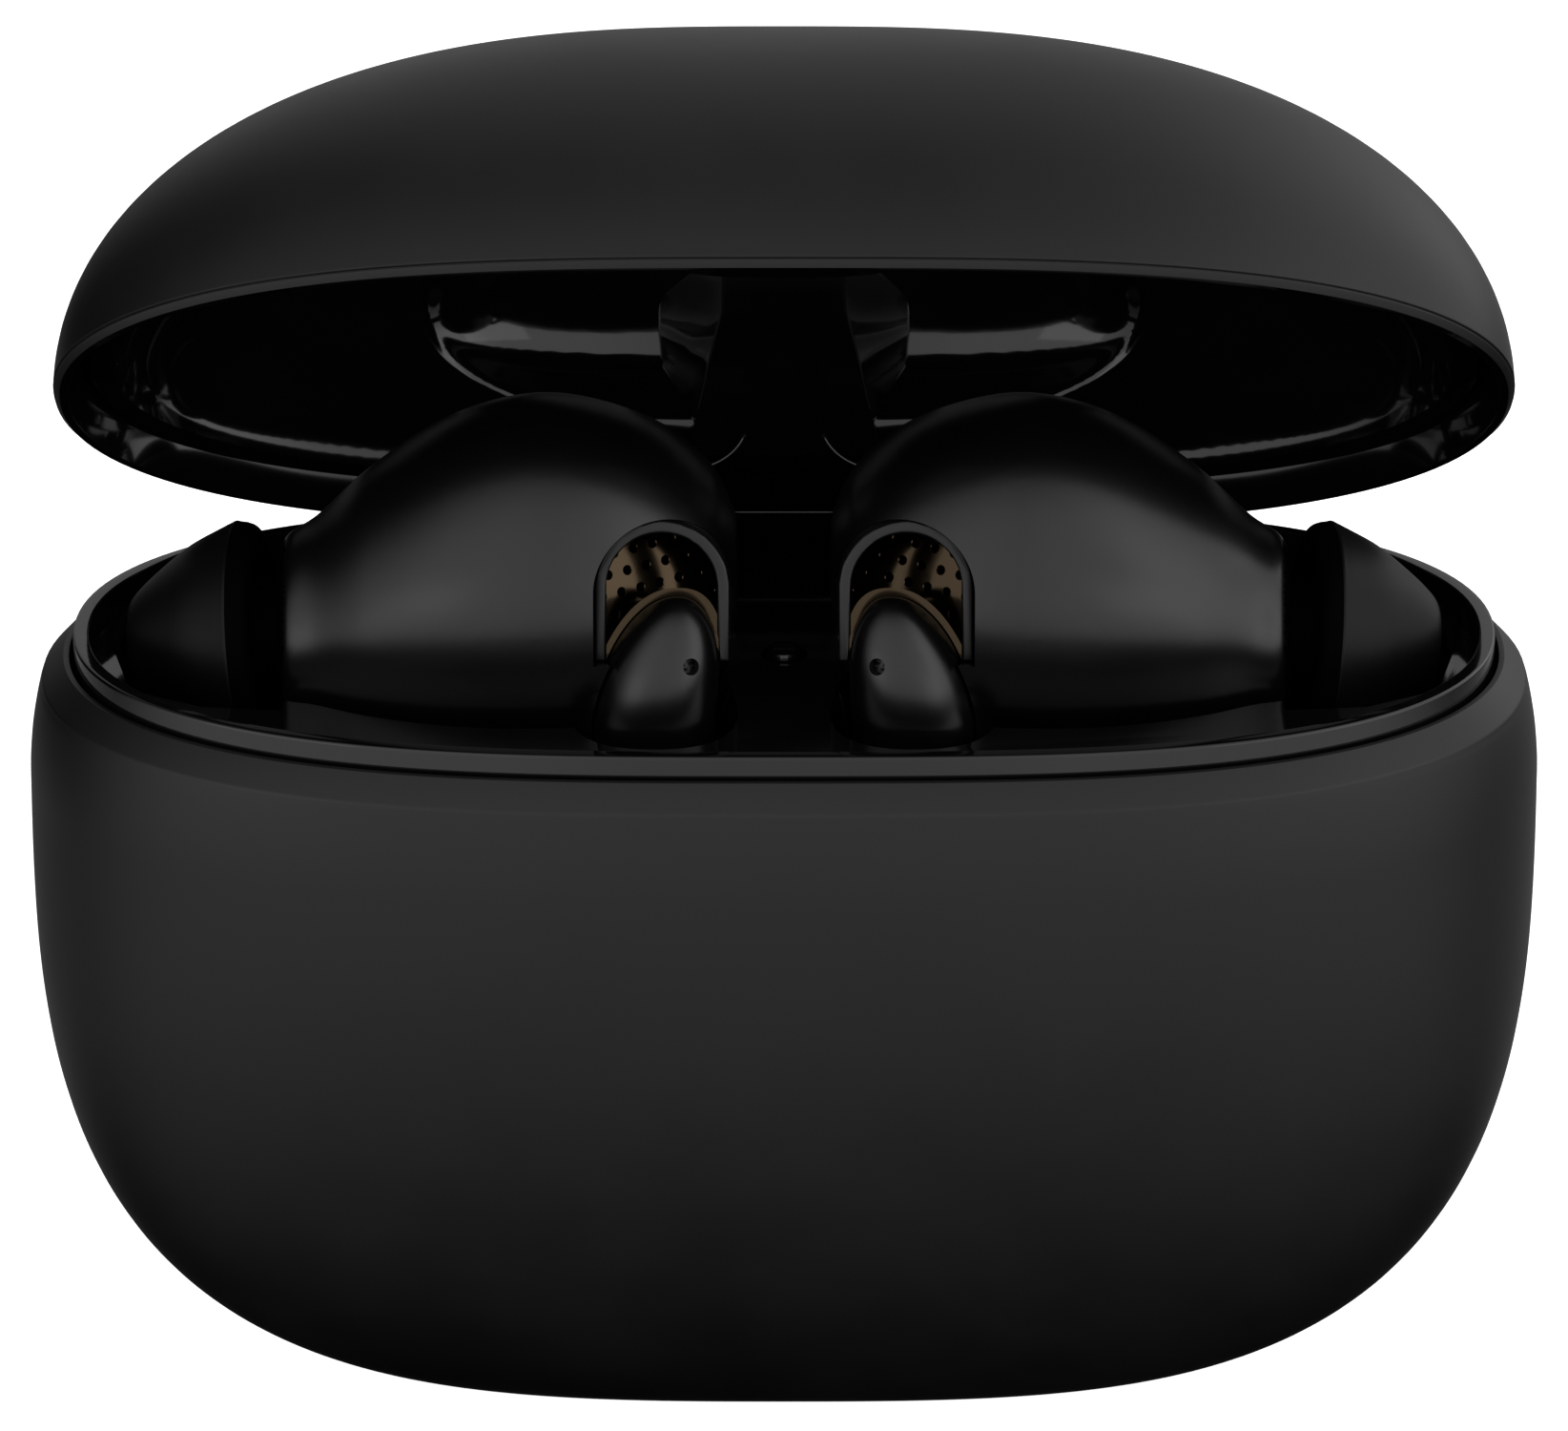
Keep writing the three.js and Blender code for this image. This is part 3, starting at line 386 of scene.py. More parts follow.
def bumped(tree, bsdf, value, depth, strength=1.0, earlier=None):
    bump = node(tree, "Bump", {"Strength": strength, "Distance": depth})
    tree.links.new(value, bump.inputs["Height"])
    if earlier:
        tree.links.new(earlier.outputs["Normal"], bump.inputs["Normal"])
    tree.links.new(bump.outputs["Normal"], bsdf.inputs["Normal"])
    return bump


def plastic(name, dark, light, rough, grain=None, coat=0.0, specular=0.5):
    """Moulded plastic: slow colour and polish variation, and an optional fine grain (scale, depth)."""
    material, tree, bsdf = shader(name)
    tree.links.new(tinted(tree, noise(tree, 180.0), dark, light), bsdf.inputs["Base Color"])
    tree.links.new(spread(tree, noise(tree, 90.0, 4), *rough), bsdf.inputs["Roughness"])
    bsdf.inputs["Specular IOR Level"].default_value = specular
    if coat:
        bsdf.inputs["Coat Weight"].default_value = coat
        bsdf.inputs["Coat Roughness"].default_value = 0.04
    if grain:
        coarse = bumped(tree, bsdf, noise(tree, grain[0] / 6, 2), grain[1] * 1.5, 0.5)
        bumped(tree, bsdf, noise(tree, grain[0], 3), grain[1], 1.0, coarse)
    return material


def metal(name, dark, light, rough, stretch=(1, 1, 1), scale=2500.0, depth=2e-6):
    """Metal with a fine drawn or brushed grain along the short axis of stretch."""
    material, tree, bsdf = shader(name)
    bsdf.inputs["Metallic"].default_value = 1.0
    lines = noise(tree, scale, 3, 0.6, stretch)
    tree.links.new(tinted(tree, noise(tree, 300.0), dark, light), bsdf.inputs["Base Color"])
    tree.links.new(spread(tree, lines, *rough), bsdf.inputs["Roughness"])
    bumped(tree, bsdf, lines, depth)
    return material


def board_material():
    """Green solder mask over a faint pattern of copper tracks."""
    material, tree, bsdf = shader("circuit_board")
    place = node(tree, "TexCoord")
    tracks = node(tree, "TexBrick",
                  {"Scale": 900.0, "Mortar Size": 0.012, "Brick Width": 0.9, "Row Height": 0.3})
    tracks.inputs["Color1"].default_value = (0.006, 0.035, 0.016, 1)
    tracks.inputs["Color2"].default_value = (0.008, 0.045, 0.02, 1)
    tracks.inputs["Mortar"].default_value = (0.02, 0.085, 0.03, 1)
    tree.links.new(place.outputs["Object"], tracks.inputs["Vector"])
    tree.links.new(tracks.outputs["Color"], bsdf.inputs["Base Color"])
    bsdf.inputs["Roughness"].default_value = 0.38
    bumped(tree, bsdf, tracks.outputs["Fac"], 1.5e-5, 0.6)
    return material


def mesh_material():
    """Woven wire cloth: two crossing waves, dark between the wires."""
    material, tree, bsdf = shader("dark_mesh")
    place = node(tree, "TexCoord")
    waves = []
    for direction in ("Z", "Y"):
        wave = node(tree, "TexWave", {"Scale": 1400.0}, bands_direction=direction)
        tree.links.new(place.outputs["Object"], wave.inputs["Vector"])
        waves.append(wave.outputs["Fac"])
    both = node(tree, "Math", operation="MAXIMUM")
    tree.links.new(waves[0], both.inputs[0])
    tree.links.new(waves[1], both.inputs[1])
    mix = node(tree, "Mix", data_type="RGBA")
    mix.inputs["A"].default_value = (0.001, 0.001, 0.001, 1)
    mix.inputs["B"].default_value = (0.05, 0.05, 0.052, 1)
    tree.links.new(both.outputs[0], mix.inputs["Factor"])
    tree.links.new(mix.outputs["Result"], bsdf.inputs["Base Color"])
    bsdf.inputs["Metallic"].default_value = 0.8
    bsdf.inputs["Roughness"].default_value = 0.4
    bumped(tree, bsdf, both.outputs[0], 3e-5, 1.0)
    return material


def greys(dark, light, tint=0.0001):
    """Two near neutral greys, slightly blue."""
    return [(value, value, value + tint) for value in (dark, light)]


GRAIN = (9000.0, 2.2e-6)
MATERIALS = {
    "case_satin": plastic("case_satin", *greys(0.0034, 0.0046), (0.38, 0.45), GRAIN, specular=0.46),
    "bud_satin": plastic("bud_satin", *greys(0.0010, 0.0016), (0.27, 0.32), GRAIN, specular=0.62),
    "tray_gloss": plastic("tray_gloss", *greys(0.0022, 0.0035, 0.0002), (0.05, 0.10), coat=0.3),
    "bud_gloss": plastic("bud_gloss", *greys(0.0015, 0.0025, 0.0), (0.32, 0.38)),
    "tip_rubber": plastic("tip_rubber", *greys(0.0012, 0.002), (0.42, 0.50), (5000.0, 1.5e-6), specular=0.22),
    "bronze": metal("bronze", (0.060, 0.043, 0.027), (0.066, 0.047, 0.029), (0.10, 0.14),
                    scale=1200.0, depth=2e-7),
    "gold": metal("gold", (0.78, 0.52, 0.20), (0.90, 0.64, 0.28), (0.18, 0.3)),
    "steel": metal("steel", (0.42, 0.43, 0.44), (0.56, 0.57, 0.58), (0.22, 0.38), (1, 8, 8)),
    "cell_foil": metal("cell_foil", (0.40, 0.41, 0.43), (0.55, 0.56, 0.58), (0.3, 0.5),
                       scale=700.0, depth=2e-5),
    "chip_black": plastic("chip_black", *greys(0.012, 0.02, 0.0), (0.45, 0.6), (6000.0, 6e-6)),
    "circuit_board": board_material(),
    "dark_mesh": mesh_material(),
}

DARK_STEEL = metal("dark_steel", (0.03, 0.03, 0.031), (0.05, 0.05, 0.052), (0.3, 0.42), (1, 8, 8))
DARK_NODES = ("hinge_pin", "hinge_spring", "hinge_screw_1", "hinge_screw_2")
# Near black with almost no shine: painted shade, put on the ear tips' skirts, the housings' necks, the hinge
# fence and the hinge arm cover where the case lies in shadow.
PAINTED_SHADE_BLACK = plastic("painted_shade_black", *greys(0.0004, 0.0006, 0.0), (0.6, 0.7), specular=0.02)
SLOTS = {part["node"]: part["material_slot"] for part in frame["record"]["subparts"]}
for node_name, thing in frame["nodes"].items():
    thing.data.materials.clear()
    thing.data.materials.append(DARK_STEEL if node_name in DARK_NODES else MATERIALS[SLOTS[node_name]])

# ---------------------------------------------------------------- case base


def bowl_ring(t, wall):
    """A ring of the base, from its widest at 0 to where the bowl would close at 1."""
    blend = t * t
    px, py = (start + (end - start) * blend for start, end in zip(RIM_POWERS, BASE_FOOT_POWERS))
    a = (BELLY[0] - wall) * closing(t, BASE_CURVE[0])
    b = (BELLY[1] - wall) * closing(t, BASE_CURVE[1])
    outline = superellipse(a, b, px, py)[0]
    return level(outline, LEDGE - BELLY_DROP - t * (BELLY_TO_POLE - 1.1 * wall))


def base_shell():
    foot_angle = math.asin((LEDGE - BELLY_DROP) / BELLY_TO_POLE)
    steps = 72
    fractions = [math.sin(foot_angle * (1 - i / steps)) for i in range(steps + 1)]
    outer = [bowl_ring(t, 0) for t in fractions]
    foot_edge = [np.column_stack([outer[0][:, :2] * shrink, np.full(AROUND, lift)])
                 for shrink, lift in ((0.94, 0.0), (0.965, 0.02))]
    outer = foot_edge + outer[1:]
    belly, lip = outer[-1], rim_ring(LEDGE - CHAMFER_DROP, -CHAMFER_OUTSET)
    rise = BELLY_DROP - CHAMFER_DROP
    wall = [belly + (lip - belly) * np.array([u * u, u * u, u]) for u in np.linspace(0, 1, 17)[1:-1]]
    lean = 2 * (np.abs(belly[:, :2] - lip[:, :2]).max()) / rise * 0.35
    chamfer_foot = LEDGE - CHAMFER_DROP
    mouth = fillet(
        [(-CHAMFER_OUTSET - lean * 0.35, chamfer_foot - 0.35), (-CHAMFER_OUTSET, chamfer_foot),
         (LEDGE_INSET, LEDGE), (MOUTH_INSET + 0.12, LEDGE), (MOUTH_INSET + 0.12, LEDGE - 3.1)],
        (0.32, 0.07, 0.05))
    bead = [rim_ring(z, inset) for inset, z in mouth[1:]]
    inner = [bowl_ring(t, BASE_WALL) for t in reversed(fractions[::4])]
    shell = loft("base_shell", outer + wall + bead + inner)
    outward(shell)
    hinge_room = rod(1.15, 2 * NOTCH, "X", *HINGE)
    arm_room = block(2 * NOTCH, 2.2, 3, 0, HINGE[1] - 0.8, HINGE[2] + 1.5)
    pin_room = rod(0.7, 11.4, "X", *HINGE)
    pin_drop = block(11.4, 1.4, 2.5, 0, HINGE[1] - 0.7, HINGE[2] - 0.55)
    port = stadium("port", 9.6, 3.9, 9.5, BELLY[1] + 2, 0.35)
    return combine(shell, [hinge_room, arm_room, pin_room, pin_drop, port], "DIFFERENCE")


def stadium_points(width, height, count=24):
    r = height / 2
    points = []
    for side in (1, -1):
        for k in range(count + 1):
            angle = math.pi * k / count - side * math.pi / 2
            points.append((side * (width / 2 - r) + r * math.cos(angle), r * math.sin(angle)))
    return np.array(points)


def stadium(name, width, height, y_inner, y_outer, flare):
    """Socket opening through the back wall, flared where it meets the outer face."""
    rings = []
    for y, grow in ((y_inner, 0), (BELLY[1] - 0.75, 0), (BELLY[1] + 0.4, flare), (y_outer, flare)):
        points = stadium_points(width + 2 * grow, height + 2 * grow)
        rings.append(np.column_stack([points[:, 0], np.full(len(points), y), points[:, 1] + PORT_Z]))
    thing = loft(name, rings)
    outward(thing)
    return thing


finished(base_shell(), "shell_base", "case_base", "case_satin", MATERIALS["case_satin"], "base_shell")

# ---------------------------------------------------------------- earbud envelopes, drawn for the right side

HOUSING_SECTIONS = np.array([
    (2.0, 1.1, 3.35, 2.4, 2.2),
    (3.0, 1.0, 3.4, 4.5, 4.2),
    (4.8, 0.9, 3.45, 6.1, 5.8),
    (7.4, 0.8, 3.5, 7.1, 6.9),
    (10.4, 0.8, 3.4, 7.4, 7.45),
    (14.0, 0.8, 2.8, 7.0, 7.1),
    (17.5, 0.8, 1.7, 5.8, 5.9),
    (19.9, 0.8, 0.75, 4.5, 4.6),
    (21.0, 0.8, 0.45, 4.1, 4.2),
    (21.4, 0.8, 0.4, 3.4, 3.5),
])  # x, centre y, centre z, half depth, half height


def smooth_path(points, steps):
    """Centripetal Catmull-Rom curve through the points."""
    points = np.asarray(points, float)
    ends = np.concatenate([[2 * points[0] - points[1]], points, [2 * points[-1] - points[-2]]])
    out = []
    for k in range(len(points) - 1):
        p0, p1, p2, p3 = ends[k:k + 4]
        t0 = 0.0
        t1 = t0 + np.linalg.norm(p1 - p0) ** 0.5
        t2 = t1 + np.linalg.norm(p2 - p1) ** 0.5
        t3 = t2 + np.linalg.norm(p3 - p2) ** 0.5
        for t in np.linspace(t1, t2, steps, endpoint=False):
            a1 = (t1 - t) / (t1 - t0) * p0 + (t - t0) / (t1 - t0) * p1
            a2 = (t2 - t) / (t2 - t1) * p1 + (t - t1) / (t2 - t1) * p2
            a3 = (t3 - t) / (t3 - t2) * p2 + (t - t2) / (t3 - t2) * p3
            b1 = (t2 - t) / (t2 - t0) * a1 + (t - t0) / (t2 - t0) * a2
            b2 = (t3 - t) / (t3 - t1) * a2 + (t - t1) / (t3 - t1) * a3
            out.append((t2 - t) / (t2 - t1) * b1 + (t - t1) / (t2 - t1) * b2)
    out.append(points[-1])
    return np.array(out)


def bulb(grow, count=128, steps=8):
    """The earbud's rounded body, grown on all sides."""
    sections = smooth_path(HOUSING_SECTIONS, steps)
    sections[0, 0] -= grow
    sections[-1, 0] += grow
    angle = 2 * np.pi * np.arange(count) / count
    power = np.where(np.sin(angle) < 0, 2 / BULB_LOWER_POWER, 1.0)
    across = np.sign(np.cos(angle)) * np.abs(np.cos(angle)) ** power
    up = np.sign(np.sin(angle)) * np.abs(np.sin(angle)) ** power
    rings = [np.column_stack([np.full(count, x), y + (ry + grow) * across, LEDGE + z + (rz + grow) * up])
             for x, y, z, ry, rz in sections]
    return loft("bulb", rings)


def column(centre, half, power, profile, grow=0.0, count=96, lean=lambda z: 0.0):
    """A vertical column with a superellipse section, from (height above the ledge, size) pairs."""
    angle = 2 * np.pi * np.arange(count) / count
    c, s = np.cos(angle), np.sin(angle)
    ux, uy = np.sign(c) * np.abs(c) ** (2 / power), np.sign(s) * np.abs(s) ** (2 / power)
    rings = [np.column_stack([centre[0] + lean(z) + (half[0] * size + grow) * ux,
                              centre[1] + (half[1] * size + grow) * uy,
                              np.full(count, LEDGE + z)]) for z, size in profile]
    return loft("column", rings)


def stem_lean(z):
    """How far the stem's upper end leans towards the middle of the case."""
    rise = max(0.0, z - STEM_LEAN_START)
    return -0.13 * rise - 0.012 * rise * rise


def stem_column(grow=0.0, bottom=STEM_BOTTOM, steps=26):
    dome = [(STEM_TOP - STEM_DOME + (STEM_DOME + grow) * math.sin(a), math.cos(a))
            for a in np.linspace(0.02, math.pi / 2 - 0.03, steps)]
    straight = [(bottom, 1)] + [(z, 1) for z in np.linspace(STEM_LEAN_START, STEM_TOP - STEM_DOME - 0.1, 6)]
    return column(STEM, STEM_HALF, STEM_POWER, straight + dome, grow, lean=stem_lean)


def shroud(grow):
    """The housing's fairing around the stem."""
    profile = [(-3.6 - grow, 0.86), (-2.6, 0.97), (0, 1), (3.2, 0.97)]
    return column((5.95, -3.9), (3.15, 2.45), 3.2, profile, grow)


def on_nozzle(thing):
    """Swings a shape drawn along X at the right place onto the nozzle's own axis."""
    pivot = Vector((NOZZLE[0], NOZZLE[1], LEDGE + NOZZLE[2]))
    thing.data.transform(Matrix.Translation(pivot) @ Matrix.Rotation(NOZZLE_TURN, 4, "Z")
                         @ Matrix.Rotation(NOZZLE_DIP, 4, "Y") @ Matrix.Translation(-pivot))
    return thing


def along_nozzle(name, profile, count=128):
    """Turns a profile about the nozzle's axis."""
    return on_nozzle(turned(name, profile, "X", count, (0, NOZZLE[1], LEDGE + NOZZLE[2])))


def tip_envelope(grow):
    profile = [(0, 20.6), (5.0 + grow, 20.6), (5.0 + grow, 24.0), (3.6 + grow, 26.4 + grow), (0, 27.8 + grow)]
    return along_nozzle("tip", profile, 96)


def envelope(side, grow):
    """The room an earbud takes, grown by a gap, where it sits in the cradle."""
    rest = [shroud(grow), stem_column(grow + 0.25, STEM_BOTTOM - grow), tip_envelope(grow + 0.15)]
    whole = combine(bulb(grow), rest, "UNION")
    if side > 0:
        return whole
    twin = reflected(whole)
    bpy.data.objects.remove(whole)
    return twin


# ---------------------------------------------------------------- cradle


def cradle():
    inner = LIP_INSET + LIP_WALL
    profile = fillet(
        [(LIP_INSET, SKIRT_BOTTOM), (LIP_INSET, LIP_TOP), (inner, LIP_TOP), (inner, DECK), (inner + 3, DECK)],
        (0.14, 0.07, 0.05))
    body = loft("cradle", [rim_ring(z, inset) for inset, z in profile[:-1]])
    outward(body)
    underside = loft("underside", [rim_ring(z, SKIRT_INSET) for z in (SKIRT_BOTTOM - 1, DECK - 1.0)])
    combine(body, [underside], "DIFFERENCE")
    for side in (1, -1):
        wall = envelope(side, POCKET_GAP + POCKET_WALL)
        combine(wall, [block(80, 60, 20, 0, 0, DECK - 0.02 + 10)], "DIFFERENCE")
        lug = block(1.8, 1.3, 2.1, side * 4.5, HINGE[1] - 0.65, HINGE[2])
        combine(body, [wall, lug], "UNION")
    for side in (1, -1):
        holes = [rod(0.65, 4, "Z", side * x, y, LEDGE + STEM_BOTTOM - 1.5, 32) for x, y in CONTACTS]
        combine(body, [envelope(side, POCKET_GAP)] + holes, "DIFFERENCE")
    notch = block(2 * NOTCH, 3, 6, 0, HINGE[1] - 0.4, HINGE[2] + 1)
    bore = rod(HINGE_BORE, 11.2, "X", *HINGE)
    well = rod(1.0, 4, "Z", *BUTTON, DECK)
    return combine(body, [notch, bore, well], "DIFFERENCE")


FENCE_TOP = LEDGE + 1.45


def hinge_fence():
    """Low wall in front of the hinge, joined to the lip at both ends."""
    path = [(-4.3, 12.75), (-3.75, 12.2), (-3.65, 11.2), (3.65, 11.2), (3.75, 12.2), (4.3, 12.75),
            (4.0, 12.95), (3.45, 12.4), (3.4, 11.42), (-3.4, 11.42), (-3.45, 12.4), (-4.0, 12.95)]
    fence = loft("fence", [[(x, y, z) for x, y in path] for z in (DECK - 0.4, FENCE_TOP)])
    outward(fence)
    return softened(fence, 0.07, 40)


finished(cradle(), "cradle", "case_base", "tray_gloss", MATERIALS["tray_gloss"], "cradle_tray", sharp=28)
# Painted shade: the fence takes the near black shade material so that it reads as the shadow in front of the
# hinge.
finished(hinge_fence(), "hinge_fence", "case_base", "tray_gloss", PAINTED_SHADE_BLACK, "cradle_tray")
fence_edge = rod(0.07, 7.2, "X", 0, 11.2, FENCE_TOP, 24)
finished(fence_edge, "fence_edge", "case_base", "tray_gloss", MATERIALS["tray_gloss"], "cradle_tray")


def pairing_button():
    dome = [(0.8 * math.cos(a), 0.12 + 0.33 * math.sin(a)) for a in np.linspace(0, math.pi / 2, 16)]
    profile = [(0, -2.2), (0.35, -2.2), (0.35, -1.6), (1.35, -1.6), (1.35, -1.25), (0.8, -1.25)]
    profile += dome[:-1] + [(0, 0.45)]
    return turned("button", profile, "Z", 64, (*BUTTON, DECK))


button = pairing_button()
finished(button, "button", "pairing_button", "tray_gloss", MATERIALS["tray_gloss"], "pairing_button")

# ---------------------------------------------------------------- lid, drawn closed


def lid_ring(t, wall):
    """A ring of the lid, from its rim at 0 to its top at 1."""
    blend = t * t
    px, py = (start + (LID_TOP_POWER - start) * blend for start in RIM_POWERS)
    a = (RIM[0] - wall) * closing(t, LID_CURVE[0])
    b = (RIM[1] - wall) * closing(t, LID_CURVE[1])
    points = superellipse(a, b, px, py)[0]
    return level(points, LID_Z + t * (LID_HEIGHT - wall))


def rising(start, steps, top=0.9998):
    """Fractions of a dome's height, closer together towards its top."""
    return [math.sin(a) for a in np.linspace(math.asin(start), math.asin(top), steps)]


def lid_shell():
    inside = [lid_ring(t, LID_WALL) for t in reversed(rising(0.16, 40, 0.995))]
    edge = fillet(
        [(LID_WALL + 0.02, LID_Z + 1.6), (LID_RIM_WALL, LID_Z), (0.30, LID_Z), (0.03, LID_Z + 0.27),
         (0.10, LID_Z + 0.31), (0.10, LID_Z + 0.35), (0.0, LID_Z + 0.40), (0.005, LID_Z + 0.6)],
        (0.08, 0.06, 0.03, 0, 0, 0.03))
    outside = [lid_ring(t, 0) for t in rising(0.035, 90)]
    shell = loft("lid", inside + [rim_ring(z, inset) for inset, z in edge[1:-1]] + outside)
    outward(shell)
    holes = [rod(SCREW_BORE, 1.9, "Y", x, 12.6, z, 24) for x, z in SCREWS]
    return combine(shell, holes, "DIFFERENCE")


def inside_or_rim(face):
    return face.normal.dot(face.center - Vector((0, 0, LID_Z + 3))) < 0 or face.center.z < LID_Z + 0.03


lid = lid_shell()
two_materials(lid, MATERIALS["tray_gloss"], inside_or_rim)
finished(lid, "shell_lid", "lid", "case_satin", MATERIALS["case_satin"], "lid_shell", open_lid=True)


def hollow(rows, powers):
    """A stack of superellipse sections: height above the rim, half width, half depth."""
    rows = smooth_path(rows, 6)
    thing = loft("hollow", [level(superellipse(a, b, *powers, 160)[0], LID_Z + z) for z, a, b in rows])
    outward(thing)
    return thing


def liner_dome(wall, steps):
    """Rings of the lid's inside, from the liner's lower edge up."""
    start = LINER_START / (LID_HEIGHT - LINER_OUTER)
    return [lid_ring(t, wall) for t in rising(start, steps, 0.995)]


def lid_liner():
    """Fills the lid apart from a deep hollow for the earbuds and a shallow one for their tips.

    A pad with bevelled sides stays in the middle of the back wall.
    """
    body = loft("liner", liner_dome(LINER_OUTER, 60))
    outward(body)
    deep = hollow([
        (-1.0, 17.2, 10.8), (3.0, 17.2, 10.8), (6.0, 17.0, 10.7), (7.0, 16.7, 10.4), (8.0, 16.1, 9.8),
        (9.0, 15.2, 8.8), (10.2, 13.9, 7.5), (11.6, 12.1, 5.7), (12.7, 10.1, 3.9),
        (13.3, 8.3, 2.5)], (3.4, 3.4))
    shallow = hollow([
        (-1.0, 28.7, 11.9), (0.3, 28.7, 11.9), (1.75, 28.5, 11.72), (2.65, 28.2, 11.42), (3.5, 27.75, 10.95),
        (4.5, 27.0, 10.15), (5.4, 26.0, 9.2), (7.4, 23.5, 7.1), (8.9, 20.9, 5.6), (9.9, 18.2, 4.1),
        (10.6, 15.9, 2.9)], RIM_POWERS)
    room = remeshed(combine(deep, [shallow], "UNION"), 0.22, 22)
    mouth = level(superellipse(28.9, 12.2, *RIM_POWERS)[0], LID_Z - 0.5)
    limit = loft("limit", [mouth] + liner_dome(LINER_OUTER + LINER_WALL, 50))
    outward(limit)
    combine(room, [limit], "INTERSECT")
    combine(room, [back_pad()], "DIFFERENCE")
    magnet_outline = superellipse(5.2, 2.6, 3, 3, 64)[0] + np.array([0, -12.2])
    magnet_pad = loft("magnet_pad", [level(magnet_outline, LID_Z + z) for z in (1.0, 6.5)])
    outward(magnet_pad)
    combine(room, [magnet_pad], "DIFFERENCE")
    combine(body, [room], "DIFFERENCE")
    arm_notch = block(2 * NOTCH, 3, 7, 0, 12.4, LID_Z + 2)
    magnet_room = block(8.6, 3.2, 2.4, 0, -11.5, LID_Z + 3.1)
    combine(body, [arm_notch, magnet_room], "DIFFERENCE")
    return combine(body, [pad_ridge(1), pad_ridge(-1)], "UNION")


def back_pad():
    rows = [  # height above the rim, half width of the face, its y, half width at the wall, the wall's y
        (0.9, 4.35, 9.3, 4.4, 10.7), (3.5, 3.75, 9.0, 3.8, 10.7), (4.8, 3.4, 8.6, 4.44, 10.65),
        (6.2, 3.05, 8.2, 5.3, 10.45), (7.6, 2.66, 7.9, 5.44, 9.85), (8.9, 2.6, 7.6, 5.44, 9.0),
        (11.5, 2.3, 7.0, 5.2, 8.0), (14.2, 1.8, 6.4, 4.5, 7.0)]
    rings = []
    for z, face, y, foot, back in rows:
        outline = [(-face, y), (face, y), (foot, back), (foot, 14.5), (-foot, 14.5), (-foot, back)]
        rings.append([(*point, z + LID_Z) for point in outline])
    pad = loft("pad", rings)
    outward(pad)
    return softened(pad, 0.12, 14)


def pad_ridge(side):
    """A fine raised line that curves up from each lower corner of the pad."""
    radius = 0.07
    turns = np.linspace(0, math.pi / 2, 17)
    rings = []
    for t in turns:
        x, z = side * (4.3 - 2.7 * math.sin(t)), LID_Z + 3.0 - 2.2 * math.cos(t)
        out = Vector((side * -math.sin(t), 0, -math.cos(t)))
        y = 9.28 - 0.115 * (z - LID_Z - 0.9)
        ring = []
        for a in np.linspace(0, 2 * math.pi, 9)[:-1]:
            reach, rise = radius * math.cos(a), radius * math.sin(a)
            ring.append((x + reach * out.x, y + rise, z + reach * out.z))
        rings.append(ring)
    ridge = loft("ridge", rings)
    outward(ridge)
    return ridge


finished(lid_liner(), "liner", "lid", "tray_gloss", MATERIALS["tray_gloss"], "lid_liner",
         sharp=22, open_lid=True)


def hinge_arm():
    """Plate screwed to the lid's back wall, two knuckles on the pin, and a curved cover over the spring."""
    y, z = HINGE[1:]
    parts = [block(1.9, 1.4, 1.4, side * 2.25, 12.3, z + 0.1) for side in (1, -1)]
    parts += [rod(0.8, 1.9, "X", side * 2.25, y, z) for side in (1, -1)]
    tube = [(0.86, -3.2), (1.05, -3.2), (1.05, 3.2), (0.86, 3.2), (0.86, -3.2)]
    cover = turned("cover", tube, "X", 96, (0, y, z))
    combine(cover, [block(8, 3, 4, 0, y + 1.2, z), block(8, 3, 3, 0, y - 1.0, z - 2.05)], "DIFFERENCE")
    plate = block(6.4, 0.8, 4.6, 0, 11.9, z + 2.8)
    combine(plate, parts + [cover], "UNION")
    holes = [rod(SCREW_BORE, 3, "Y", x, 12, up, 24) for x, up in SCREWS]
    return combine(plate, [rod(HINGE_BORE, 8, "X", 0, y, z)] + holes, "DIFFERENCE")


# Painted shade: the hinge arm and its cover take the near black shade material, standing for the shadowed
# hinge recess.
finished(hinge_arm(), "hinge_arm_cover", "lid", "tray_gloss", PAINTED_SHADE_BLACK, "hinge_arm", open_lid=True)

# ---------------------------------------------------------------- earbuds


def arch(grow, drop=ARCH_DROP, count=40):
    """The arch's outline, grown, in its own plane: x across, y up, going round from the lower right."""
    half_width, rise = ARCH_HALF_WIDTH + grow, ARCH_RISE + grow
    curve = [(half_width * math.cos(a), rise - half_width + half_width * math.sin(a))
             for a in np.linspace(0, math.pi, count)]
    return [(half_width, -drop)] + curve + [(-half_width, -drop)]


def alcove_place(x, depth, up):
    """A point of the alcove: across, behind its front plane, and up that plane."""
    c, s = math.cos(ALCOVE_LEAN), math.sin(ALCOVE_LEAN)
    return (ALCOVE[0] + x, ALCOVE[1] + depth * c + up * s, LEDGE + ALCOVE[2] - depth * s + up * c)


def arch_prism(outline, depth, front):
    """A prism square to the alcove's plane, starting some way behind it."""
    rings = [[alcove_place(x, d, up) for x, up in outline] for d in (front, front + depth)]
    thing = loft("arch", rings)
    outward(thing)
    return thing


